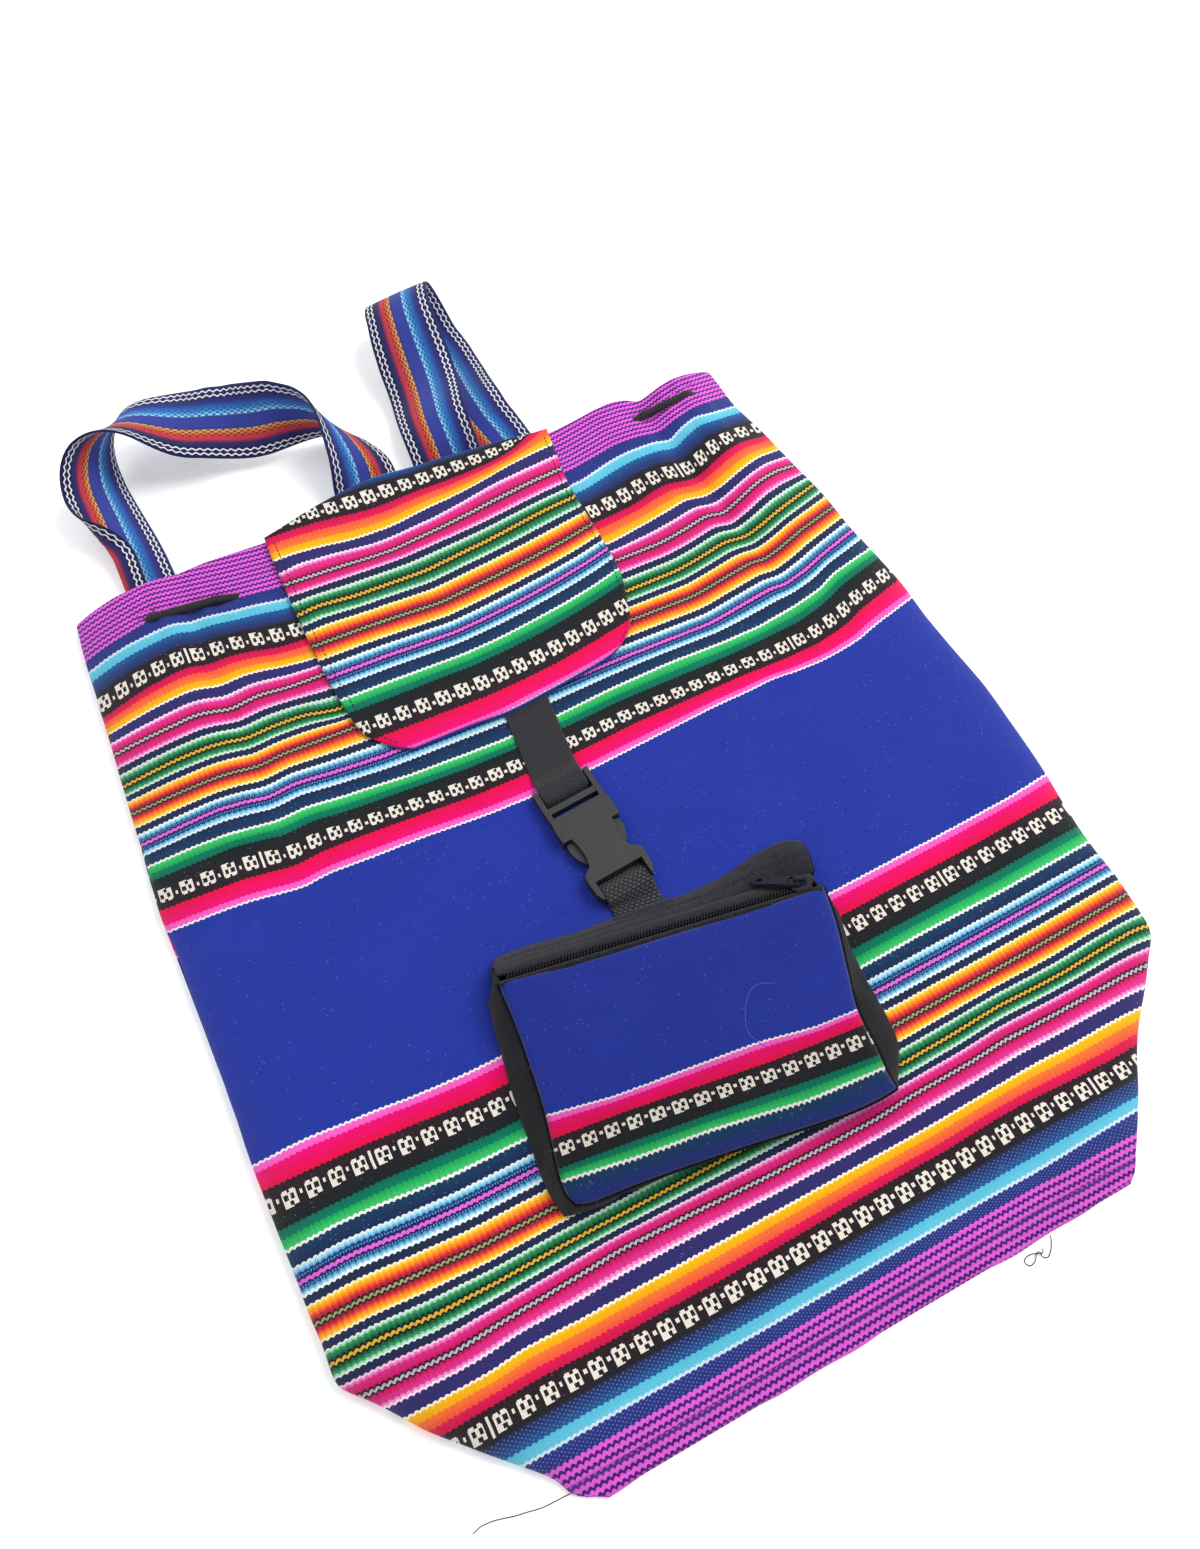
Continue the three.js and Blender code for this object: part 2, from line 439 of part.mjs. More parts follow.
const slider = new THREE.Group();
slider.position.set(SLIDER_X, 4.05, 0);
slope.add(slider);
part(slider, 'zipper_slider', surface(join(
  prism([[-5, -3.0], [-3.6, -3.7], [3.6, -3.7], [5, -2.4], [5, 2.4], [3.6, 3.7], [-3.6, 3.7], [-5, 3.0]], 2.2, 3.4),
  block(-3.6, 4.2, -3.6, -2.45, 1.15, 2.4),
  block(-3.6, 4.2, 2.45, 3.6, 1.15, 2.4),
  block(-2.9, -1.9, -0.75, 0.75, 3.2, 6.6), // bridge that holds the pull
  block(1.9, 2.9, -0.75, 0.75, 3.2, 6.6),
  block(-2.9, 2.9, -0.75, 0.75, 5.5, 6.7),
)), 0x2a2a2c, 0.4, 0.4);

const pull = new THREE.Group();
pull.position.set(0, 0, 4.45);
pull.rotation.set(0, rad(-PULL_DROP), rad(-PULL_TURN), 'ZYX');
slider.add(pull);
const tab = new THREE.Shape();
tab.moveTo(-5.4, -3.6);
tab.lineTo(-18.5, -3.5);
tab.absarc(-19.5, 0, 3.6, -Math.PI / 2, Math.PI / 2, true);
tab.lineTo(-5.4, 3.6);
tab.closePath();
const eye = new THREE.Path();
eye.absarc(-19.6, 0, 1.6, 0, Math.PI * 2, false);
tab.holes.push(eye);
part(pull, 'zipper_pull', surface(join(
  prism(tab, -0.6, 0.6),
  block(-6, 0.6, -3.6, -2.55, -0.6, 0.6),
  block(-6, 0.6, 2.55, 3.6, -0.6, 0.6),
  block(-0.6, 0.6, -2.8, 2.8, -0.6, 0.6),
)), 0x2a2a2c, 0.4, 0.4);

export default bag;
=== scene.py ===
import math

import bpy
import numpy as np
from mathutils import Matrix, Vector


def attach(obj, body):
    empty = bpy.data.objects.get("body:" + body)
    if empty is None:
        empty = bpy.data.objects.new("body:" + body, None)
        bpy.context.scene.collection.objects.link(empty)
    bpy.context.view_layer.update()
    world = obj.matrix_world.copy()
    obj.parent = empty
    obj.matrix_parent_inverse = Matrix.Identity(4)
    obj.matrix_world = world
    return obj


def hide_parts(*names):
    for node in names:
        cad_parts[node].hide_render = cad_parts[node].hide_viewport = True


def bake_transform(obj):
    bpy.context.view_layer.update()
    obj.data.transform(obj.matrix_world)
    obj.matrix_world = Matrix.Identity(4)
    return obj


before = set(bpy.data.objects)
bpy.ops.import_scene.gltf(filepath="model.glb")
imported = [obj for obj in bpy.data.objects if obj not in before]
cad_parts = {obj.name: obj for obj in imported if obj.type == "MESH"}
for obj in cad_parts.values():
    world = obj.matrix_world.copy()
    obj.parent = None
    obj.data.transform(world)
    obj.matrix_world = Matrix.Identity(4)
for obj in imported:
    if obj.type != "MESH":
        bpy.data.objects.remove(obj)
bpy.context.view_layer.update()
scene = bpy.context.scene
ORIGIN_Y = 250.0  # the layout below has Y = 0 on the bottom seam, in millimetres

# ---------------------------------------------------------------- camera ----
CAM = np.array([-105.06, 48.4, 533.95])
PITCH, ROLL, YAW = math.radians(63.6397), math.radians(-0.1879), math.radians(26.7056)


def camera_rotation():
    c, s = math.cos(YAW), math.sin(YAW)
    rz = np.array([[c, -s, 0], [s, c, 0], [0, 0, 1]])
    c, s = math.cos(PITCH), math.sin(PITCH)
    r0 = np.array([[1, 0, 0], [0, -s, -c], [0, c, -s]])
    c, s = math.cos(ROLL), math.sin(ROLL)
    rr = np.array([[c, -s, 0], [s, c, 0], [0, 0, 1]])
    return rr @ r0 @ rz


cam_data = bpy.data.cameras.new("camera")
cam_data.sensor_fit = "AUTO"
cam_data.sensor_width = 36.0
cam_data.lens = 26.766
cam_data.clip_start, cam_data.clip_end = 0.01, 20.0
cam = bpy.data.objects.new("camera", cam_data)
scene.collection.objects.link(cam)
turn = camera_rotation().T @ np.diag([1.0, -1.0, -1.0])
place = np.eye(4)
place[:3, :3] = turn
place[:3, 3] = (CAM[0] / 1000, (CAM[1] - ORIGIN_Y) / 1000, CAM[2] / 1000)
cam.matrix_world = Matrix(place.tolist())
scene.camera = cam

# --------------------------------------------------------------- helpers ----


def smooth(a, b, x):
    t = np.clip((np.asarray(x, float) - a) / (b - a), 0, 1)
    return t * t * (3 - 2 * t)


def bell(x, c, w):
    return np.exp(-(((np.asarray(x, float) - c) / w) ** 2))


class Lumps:
    """Smooth repeatable noise over the plane, from -1 to 1, one lump per cell."""

    def __init__(self, seed, cell):
        self.g = np.random.default_rng(seed).uniform(-1, 1, (96, 96))
        self.cell = cell

    def __call__(self, x, y):
        u = np.asarray(x, float) / self.cell[0] + 40
        v = np.asarray(y, float) / self.cell[1] + 40
        i, j = np.floor(u).astype(int), np.floor(v).astype(int)
        fu, fv = u - i, v - j
        fu, fv = fu**3 * (fu * (6 * fu - 15) + 10), fv**3 * (fv * (6 * fv - 15) + 10)
        g = self.g
        i, j = i % 95, j % 95
        low = g[i, j] * (1 - fu) + g[i + 1, j] * fu
        high = g[i, j + 1] * (1 - fu) + g[i + 1, j + 1] * fu
        return low * (1 - fv) + high * fv


def curve_of(points, sigma=0.0, step=1.0):
    """Piecewise curve through (x, y) points, softened over sigma."""
    p = np.array(points, float)
    x = np.arange(p[0, 0] - 60, p[-1, 0] + 60, step)
    y = np.interp(x, p[:, 0], p[:, 1])
    lo, hi = x < p[0, 0], x > p[-1, 0]
    y[lo] = p[0, 1] + (x[lo] - p[0, 0]) * (p[1, 1] - p[0, 1]) / (p[1, 0] - p[0, 0])
    y[hi] = p[-1, 1] + (x[hi] - p[-1, 0]) * (p[-1, 1] - p[-2, 1]) / (p[-1, 0] - p[-2, 0])
    if sigma:
        n = int(4 * sigma / step)
        k = np.exp(-0.5 * (np.arange(-n, n + 1) * step / sigma) ** 2)
        k /= k.sum()
        y = np.convolve(np.pad(y, n, mode="edge"), k, mode="valid")
    return lambda q: np.interp(q, x, y)


def on_plane(x, y, z, level=17.0):
    """Where a point lies as seen against the level of the body's crown."""
    k = (CAM[2] - level) / (CAM[2] - z)
    return CAM[0] + (x - CAM[0]) * k, CAM[1] + (y - CAM[1]) * k


def mesh_object(name, verts, faces, attrs=None, smooth_shade=True):
    """verts in millimetres, layout frame."""
    v = np.array(verts, float)
    v = np.column_stack([v[:, 0], v[:, 1] - ORIGIN_Y, v[:, 2]]) / 1000.0
    me = bpy.data.meshes.new(name)
    me.from_pydata(v.tolist(), [], [list(map(int, f)) for f in faces])
    for key, value in (attrs or {}).items():
        a = me.attributes.new(key, "FLOAT_VECTOR", "POINT")
        a.data.foreach_set("vector", np.asarray(value, np.float32).ravel())
    me.validate()
    me.update()
    o = bpy.data.objects.new(name, me)
    scene.collection.objects.link(o)
    if smooth_shade:
        me.polygons.foreach_set("use_smooth", [True] * len(me.polygons))
    return o


def grid_faces(nu, nv, wrap_u=False, base=0, flip=False):
    """Quads of a grid stored with u fastest."""
    i = np.arange(nu if wrap_u else nu - 1)
    j = np.arange(nv - 1)
    ii, jj = np.meshgrid(i, j)
    a = jj * nu + ii
    b = jj * nu + (ii + 1) % nu
    f = np.stack([a, b, b + nu, a + nu], -1).reshape(-1, 4) + base
    return f[:, ::-1] if flip else f


def apply_modifiers(o):
    bpy.context.view_layer.update()
    dg = bpy.context.evaluated_depsgraph_get()
    me = bpy.data.meshes.new_from_object(o.evaluated_get(dg), preserve_all_data_layers=True, depsgraph=dg)
    o.modifiers.clear()
    old = o.data
    o.data = me
    bpy.data.meshes.remove(old)
    return o


def thicken(o, mm, offset=-1.0):
    m = o.modifiers.new("thick", "SOLIDIFY")
    m.thickness = mm / 1000
    m.offset = offset
    m.use_even_offset = False
    m.use_rim = True
    return apply_modifiers(o)


def finish_piece(o, body, material, stands_for=()):
    o.data.materials.clear()
    o.data.materials.append(material)
    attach(o, body)
    if stands_for:
        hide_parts(*stands_for)
    return o


# ------------------------------------------------------------- materials ----
def srgb(text):
    v = [int(text[i : i + 2], 16) / 255 for i in (1, 3, 5)]
    return [x / 12.92 if x <= 0.04045 else ((x + 0.055) / 1.055) ** 2.4 for x in v] + [1.0]


class Net:
    def __init__(self, name):
        self.mat = bpy.data.materials.new(name)
        self.mat.use_nodes = True
        self.t = self.mat.node_tree
        self.t.nodes.clear()
        self.out = self.t.nodes.new("ShaderNodeOutputMaterial")
        self.bsdf = self.t.nodes.new("ShaderNodeBsdfPrincipled")
        self.t.links.new(self.bsdf.outputs[0], self.out.inputs[0])

    def node(self, kind, **props):
        n = self.t.nodes.new(kind)
        for k, v in props.items():
            setattr(n, k, v)
        return n

    def put(self, socket, value):
        if isinstance(value, bpy.types.NodeSocket):
            self.t.links.new(value, socket)
        elif value is not None:
            socket.default_value = value

    def m(self, op, a, b=None, c=None, clamp=False):
        n = self.node("ShaderNodeMath", operation=op, use_clamp=clamp)
        for s, v in zip(n.inputs, (a, b, c)):
            self.put(s, v)
        return n.outputs[0]

    def add(self, a, b):
        return self.m("ADD", a, b)

    def sub(self, a, b):
        return self.m("SUBTRACT", a, b)

    def mul(self, a, b):
        return self.m("MULTIPLY", a, b)

    def less(self, a, b):
        return self.m("LESS_THAN", a, b)

    def more(self, a, b):
        return self.m("GREATER_THAN", a, b)

    def inside(self, a, centre, half):
        return self.m("COMPARE", a, centre, half)

    def both(self, *items):
        out = items[0]
        for i in items[1:]:
            out = self.m("MULTIPLY", out, i)
        return out

    def either(self, *items):
        out = items[0]
        for i in items[1:]:
            out = self.m("MAXIMUM", out, i)
        return out

    def band(self, a, lo, hi, soft):
        """1 between lo and hi, with soft edges."""
        n = self.node("ShaderNodeMapRange", interpolation_type="SMOOTHSTEP")
        self.put(n.inputs[0], a)
        n.inputs[1].default_value, n.inputs[2].default_value = lo - soft, lo + soft
        n2 = self.node("ShaderNodeMapRange", interpolation_type="SMOOTHSTEP")
        self.put(n2.inputs[0], a)
        n2.inputs[1].default_value, n2.inputs[2].default_value = hi - soft, hi + soft
        return self.sub(n.outputs[0], n2.outputs[0])

    def mapped(self, a, lo, hi, to_lo=0.0, to_hi=1.0):
        n = self.node("ShaderNodeMapRange")
        self.put(n.inputs[0], a)
        for k, v in zip((1, 2, 3, 4), (lo, hi, to_lo, to_hi)):
            n.inputs[k].default_value = v
        return n.outputs[0]

    def mix(self, fac, a, b, kind="MIX"):
        n = self.node("ShaderNodeMix", data_type="RGBA", blend_type=kind)
        self.put(n.inputs[0], fac)
        self.put(n.inputs[6], a)
        self.put(n.inputs[7], b)
        return n.outputs[2]

    def vec(self, x, y, z=0.0):
        n = self.node("ShaderNodeCombineXYZ")
        for s, v in zip(n.inputs, (x, y, z)):
            self.put(s, v)
        return n.outputs[0]

    def noise(self, vector, scale, detail=2.0, rough=0.5):
        n = self.node("ShaderNodeTexNoise")
        self.put(n.inputs["Vector"], vector)
        n.inputs["Scale"].default_value = scale
        n.inputs["Detail"].default_value = detail
        n.inputs["Roughness"].default_value = rough
        return n.outputs[0]

    def white(self, vector):
        n = self.node("ShaderNodeTexWhiteNoise")
        n.noise_dimensions = "2D"
        self.put(n.inputs["Vector"], vector)
        return n.outputs[0]

    def attribute(self, name):
        n = self.node("ShaderNodeAttribute", attribute_name=name)
        s = self.node("ShaderNodeSeparateXYZ")
        self.t.links.new(n.outputs["Vector"], s.inputs[0])
        return s.outputs

    def object_point(self):
        return self.node("ShaderNodeTexCoord").outputs["Object"]

    def mapping(self, vector, scale):
        n = self.node("ShaderNodeMapping")
        self.put(n.inputs["Vector"], vector)
        n.inputs["Scale"].default_value = scale
        return n.outputs[0]

    def ramp(self, fac, stops, kind="LINEAR"):
        n = self.node("ShaderNodeValToRGB")
        r = n.color_ramp
        r.interpolation = kind
        while len(r.elements) > 1:
            r.elements.remove(r.elements[-1])
        r.elements[0].position, r.elements[0].color = stops[0]
        for pos, col in stops[1:]:
            e = r.elements.new(pos)
            e.color = col
        self.put(n.inputs[0], fac)
        return n.outputs[0]

    def bump(self, height, strength, distance, normal=None):
        n = self.node("ShaderNodeBump")
        n.inputs["Strength"].default_value = strength
        n.inputs["Distance"].default_value = distance
        self.put(n.inputs["Height"], height)
        if normal is not None:
            self.put(n.inputs["Normal"], normal)
        return n.outputs[0]

    def close(self, color, rough, normal=None, sheen=0.0, specular=0.25, metallic=0.0, coat=0.0):
        b = self.bsdf
        self.put(b.inputs["Base Color"], color)
        self.put(b.inputs["Roughness"], rough)
        b.inputs["Specular IOR Level"].default_value = specular
        b.inputs["Metallic"].default_value = metallic
        b.inputs["Sheen Weight"].default_value = sheen
        b.inputs["Sheen Roughness"].default_value = 0.5
        b.inputs["Coat Weight"].default_value = coat
        if normal is not None:
            self.put(b.inputs["Normal"], normal)
        return self.mat


# Stripe order of the cloth, in millimetres out from the middle of the blue field.
# Each run: start, colour at its start, colour at its end (until the next start).
BLUE, WHITE = "#21339B", "#F3EFE8"
NAVY, TEAL, BLACK = "#1D2848", "#12395C", "#211D20"
RUNS = [
    (40.0, BLUE, BLUE),
    (57.1, WHITE, WHITE),
    (58.2, "#F763C8", "#F25ABC"),
    (61.4, "#EC0270", "#E60448"),
    (70.6, "#2E1A20", BLACK),
    (79.0, BLACK, "#161E1B"),
    (88.0, "#006C56", "#007858"),
    (92.0, "#1CA658", "#3CC26A"),
    (96.2, WHITE, WHITE),
    (97.3, TEAL, "#14284E"),
    (104.0, "#E2F0F2", "#CCE8F0"),
    (105.2, "#98D2E6", "#5CA8D0"),
    (107.0, "#0E3E7E", "#123068"),
    (109.0, "#171E5C", "#171E5C"),
    (110.0, "#E066D4", "#E066D4"),
    (111.5, "#171E5C", "#171E5C"),
    (112.2, "#123068", "#0E3E7E"),
    (113.6, "#5094C0", "#88C8E2"),
    (115.4, "#DCF2F6", "#EEF6F4"),
    (116.7, NAVY, NAVY),
    (120.3, "#FFF2D2", "#FFE6A0"),
    (121.4, "#FFC02A", "#FF951E"),
    (123.7, "#FA6A26", "#E8402E"),
    (125.4, "#BC283A", "#A41E36"),
    (126.9, "#2E160F", "#2E160F"),
    (127.95, "#A0A478", "#A0A478"),
    (129.1, "#2E160F", "#2E160F"),
    (130.1, "#A41E36", "#BC283A"),
    (131.6, "#E8402E", "#FA6A26"),
    (133.3, "#FF951E", "#FFC02A"),
    (135.4, "#FFE6A0", "#FFF2D2"),
    (136.5, NAVY, NAVY),
    (140.0, "#DCEADF", "#90D0A8"),
    (141.8, "#338A5A", "#0A6036"),
    (144.6, "#141C12", "#141C12"),
    (145.85, "#DEB23A", "#DEB23A"),
    (147.25, "#141C12", "#141C12"),
    (148.5, "#0A6036", "#338A5A"),
    (151.2, "#90D0A8", "#DCEADF"),
    (153.2, NAVY, NAVY),
    (157.0, "#F8C4E4", "#EE6AB6"),
    (159.2, "#D62C84", "#CE0F60"),
    (163.2, "#38121F", "#38121F"),
    (164.4, "#C6BCCC", "#C6BCCC"),
    (165.7, "#38121F", "#38121F"),
    (166.8, "#CE0F60", "#DE3490"),
    (170.8, "#F488C8", "#FCE0F2"),
    (173.0, "#302A68", "#302A68"),
    (179.0, "#FFF7E4", "#FFEFC4"),
    (180.2, "#F9B90C", "#F9AA0E"),
    (184.0, "#FA7434", "#F45A38"),
    (188.6, "#E01450", "#CC0E48"),
    (193.0, "#2B181E", BLACK),
    (206.0, "#1F284C", "#1E3470"),
    (209.5, "#1A3A74", "#1C5692"),
    (214.0, "#59BBD8", "#64C5E0"),
    (218.8, "#CBE2EC", "#D6E6EC"),
    (220.0, "#233282", "#242E78"),
    (227.0, "#E060D6", "#E060D6"),
    (300.0, "#E060D6", "#E060D6"),
]


def stripes_of(net, d):
    """Colour of the cloth at distance d from the middle of the field, thread by thread."""
    stops = []
    for k, (a, ca, cb) in enumerate(RUNS[:-1]):
        b = RUNS[k + 1][0]
        n = 1 if ca == cb else max(2, min(4, round((b - a) / 1.1)))
        ca, cb = np.array(srgb(ca)), np.array(srgb(cb))
        for i in range(n):
            f = 0.0 if n == 1 else i / (n - 1)
            stops.append((a + (b - a) * i / n, (ca + (cb - ca) * f).tolist()))
    out = None
    for k in range(0, len(stops), 30):
        part = stops[k : k + 30]
        lo = part[0][0]
        hi = stops[k + 30][0] if k + 30 < len(stops) else RUNS[-1][0]
        col = net.ramp(net.mapped(d, lo, hi), [((p - lo) / (hi - lo), c) for p, c in part], "CONSTANT")
        out = col if out is None else net.mix(net.more(d, lo), out, col)
    return out


def grey(net, color):
    n = net.node("ShaderNodeRGBToBW")
    net.put(n.inputs[0], color)
    return n.outputs[0]


def cloth_material(name, tone=1.0, low=None):
    net = Net(name)
    t, dd, e = net.attribute("cloth")
    # wobble of the hand weave, and the step of the warp pairs at each colour change
    slow = net.noise(net.vec(net.mul(t, 0.011), net.mul(dd, 0.02)), 1.0, 2.0)
    pair = net.m("FLOOR", net.m("DIVIDE", t, 1.3))
    jitter = net.white(net.vec(pair, net.m("FLOOR", net.mul(dd, 0.25))))
    tri = net.m("DIVIDE", net.m("PINGPONG", t, 1.3), 1.3)
    step = net.m("SUBTRACT", net.m("SMOOTH_MIN", net.mul(tri, 1.5), 1.0, 0.3), 0.5)
    d = net.m("ABSOLUTE", dd)
    near = net.either(net.inside(d, 165.05, 2.2), net.inside(d, 128.5, 2.0), net.inside(d, 146.55, 2.4))
    d = net.add(d, net.mul(step, net.add(0.7, net.mul(near, 0.3))))
    d = net.add(d, net.mul(net.sub(jitter, 0.5), 0.22))
    d = net.add(d, net.mul(net.sub(slow, 0.5), 0.9))
    color = stripes_of(net, d)
    # three thin lines are twisted of a light and a dark thread
    slant = net.m("FRACT", net.m("DIVIDE", net.add(t, d), 2.6))
    for centre, half, dark, much in ((165.05, 0.65, "#3A2632", 0.35), (128.5, 0.6, "#3A2A14", 0.25), (146.55, 0.7, "#5A4410", 0.2)):
        here = net.both(net.inside(d, centre, half), net.less(slant, 0.4))
        color = net.mix(net.mul(here, much), color, srgb(dark))
    # pale warp dots on both sides of the thin pink line
    spot = net.both(
        net.less(net.m("ABSOLUTE", net.sub(net.m("FRACT", net.m("DIVIDE", t, 1.3)), 0.5)), 0.22),
        net.either(net.inside(d, 108.4, 0.35), net.inside(d, 112.9, 0.35)),
    )
    color = net.mix(net.mul(spot, 0.55), color, srgb("#9CC4E8"))
    # violet lines of the hem
    hem = net.more(d, 227.0)
    zig = net.add(net.m("ABSOLUTE", dd), net.mul(step, 1.05))
    line = net.m("FRACT", net.m("DIVIDE", net.sub(zig, 227.4), 3.25))
    lines = net.band(line, 0.52, 0.95, 0.04)
    color = net.mix(net.both(hem, lines), color, srgb("#481274"))
    # sewn fold of the bottom hem
    fold = net.both(net.inside(net.m("ABSOLUTE", dd), 235.8, 1.0), net.less(dd, 0.0))
    color = net.mix(net.mul(fold, 0.45), color, srgb("#5A2C86"))
    # woven blocks in the two black bands
    drift = net.add(net.mapped(dd, -200.0, -78.0, 0.0, 4.0), net.mapped(dd, -78.0, 200.0, 0.0, -8.3))
    tl = net.m("FLOORED_MODULO", net.add(net.add(t, 157.0), drift), 292.0)
    tq = net.mul(net.add(net.m("FLOOR", net.m("DIVIDE", tl, 0.52)), 0.5), 0.52)
    x = net.sub(net.m("FLOORED_MODULO", tq, 10.42), 5.21)
    ax = net.m("ABSOLUTE", x)
    white = None
    base = net.m("ABSOLUTE", dd)
    for centre, tall in ((78.0, 1.0), (200.0, 1.08)):
        y0 = net.m("DIVIDE", net.sub(base, centre), tall)
        y0 = net.add(y0, net.mul(net.sub(slow, 0.5), 0.8))
        y = net.mul(net.add(net.m("FLOOR", net.m("DIVIDE", y0, 0.6)), 0.5), 0.6)
        block = net.both(net.less(ax, 3.15), net.inside(y, 0.0, 3.8))
        notch = net.both(net.less(ax, 0.75), net.less(y, -2.2))
        ear = net.both(net.more(ax, 2.7), net.less(y, -3.1))
        holes = net.both(net.inside(ax, 1.55, 0.8), net.inside(y, -0.75, 1.05))
        hole = net.both(net.inside(x, 0.45, 0.85), net.inside(y, 1.85, 0.85))
        foot = net.both(net.more(x, 0.6), net.more(y, 3.3))
        dark = net.either(notch, holes, hole, foot, ear)
        block = net.both(block, net.sub(1.0, dark))
        dot = net.both(net.more(ax, 4.5), net.inside(y, -1.0, 0.8))
        bar = net.both(net.either(net.less(tl, 0.6), net.more(tl, 291.4)), net.inside(y, 0.0, 3.9))
        cell = net.both(net.more(tl, 1.2), net.less(tl, 290.8))
        here = net.either(net.both(cell, net.either(block, dot)), bar)
        here = net.both(here, net.inside(base, centre, 6.5))
        white = here if white is None else net.either(white, here)
    fluff = net.noise(net.vec(net.mul(t, 1.6), net.mul(dd, 1.6)), 1.0, 2.0)
    white = net.both(white, net.mapped(fluff, 0.2, 0.36))
    color = net.mix(white, color, srgb("#E9E3D6"))
    # flecks of the pale warp showing between dark wefts
    fleck = net.white(net.vec(net.m("FLOOR", net.m("DIVIDE", t, 0.65)), net.m("FLOOR", net.m("DIVIDE", dd, 0.42))))
    amount = net.mapped(net.noise(net.vec(net.mul(t, 0.045), net.mul(dd, 0.07)), 1.0, 2.0), 0.5, 0.72, 0.0006, 0.011)
    amount = net.add(amount, net.mul(net.inside(d, 100.7, 3.0), 0.012))
    fleck = net.both(net.more(fleck, net.sub(1.0, amount)), net.less(grey(net, color), 0.1))
    color = net.mix(net.mul(fleck, 0.16), color, srgb("#C4CDF0"))
    row = net.m("FRACT", net.m("DIVIDE", net.add(base, net.mul(net.m("FLOORED_MODULO", pair, 2.0), 0.95)), 1.9))
    warp = net.both(
        net.less(net.m("ABSOLUTE", net.sub(net.m("FRACT", net.m("DIVIDE", t, 1.3)), 0.5)), 0.2),
        net.less(net.m("ABSOLUTE", net.sub(row, 0.5)), 0.14),
        net.either(net.inside(d, 210.2, 3.4), net.inside(d, 223.5, 3.1)),
    )
    color = net.mix(net.mul(warp, net.mapped(dd, -150.0, 150.0, 0.4, 0.08)), color, srgb("#9CB0E0"))
    if low:
        color = net.mix(net.mapped(dd, 98.5, 101.2), color, srgb(low))
    heather = net.noise(net.vec(net.mul(t, 0.9), net.mul(dd, 2.4)), 1.0, 3.0, 0.7)
    pale = net.both(net.mapped(heather, 0.52, 0.8), net.less(grey(net, color), 0.1))
    color = net.mix(net.mul(pale, 0.11), color, srgb("#8C9BE0"))
    # thread by thread changes of tone along the weft, and shade between the ribs
    weft = net.noise(net.vec(net.mul(t, 0.03), net.mul(dd, 1.7)), 1.0, 3.0, 0.6)
    rib = net.m("PINGPONG", t, 0.4333)
    ribs = net.mapped(rib, 0.0, 0.4333, 0.0, 1.0)
    patch = net.noise(net.vec(net.mul(t, 0.02), net.mul(dd, 0.02)), 1.0, 3.0)
    value = net.add(net.mapped(weft, 0.2, 0.8, 0.88, 1.1), net.mapped(ribs, 0.0, 1.0, -0.24, 0.08))
    value = net.mul(value, net.mapped(patch, 0.3, 0.7, 0.95, 1.04))
    value = net.mul(value, tone)
    shade = net.node("ShaderNodeHueSaturation")
    shade.inputs["Saturation"].default_value = 1.0
    net.put(shade.inputs["Value"], value)
    net.put(shade.inputs["Color"], color)
    color = shade.outputs[0]
    picks = net.m("PINGPONG", net.add(dd, net.mul(net.m("FLOORED_MODULO", pair, 2.0), 0.31)), 0.31)
    height = net.add(net.mul(ribs, 0.65), net.mul(picks, 0.8))
    height = net.add(height, net.mul(fluff, 0.5))
    height = net.add(height, net.mul(white, 0.5))
    normal = net.bump(height, 0.55, 0.0004)
    return net.close(color, 0.93, normal, sheen=0.12, specular=0.12)


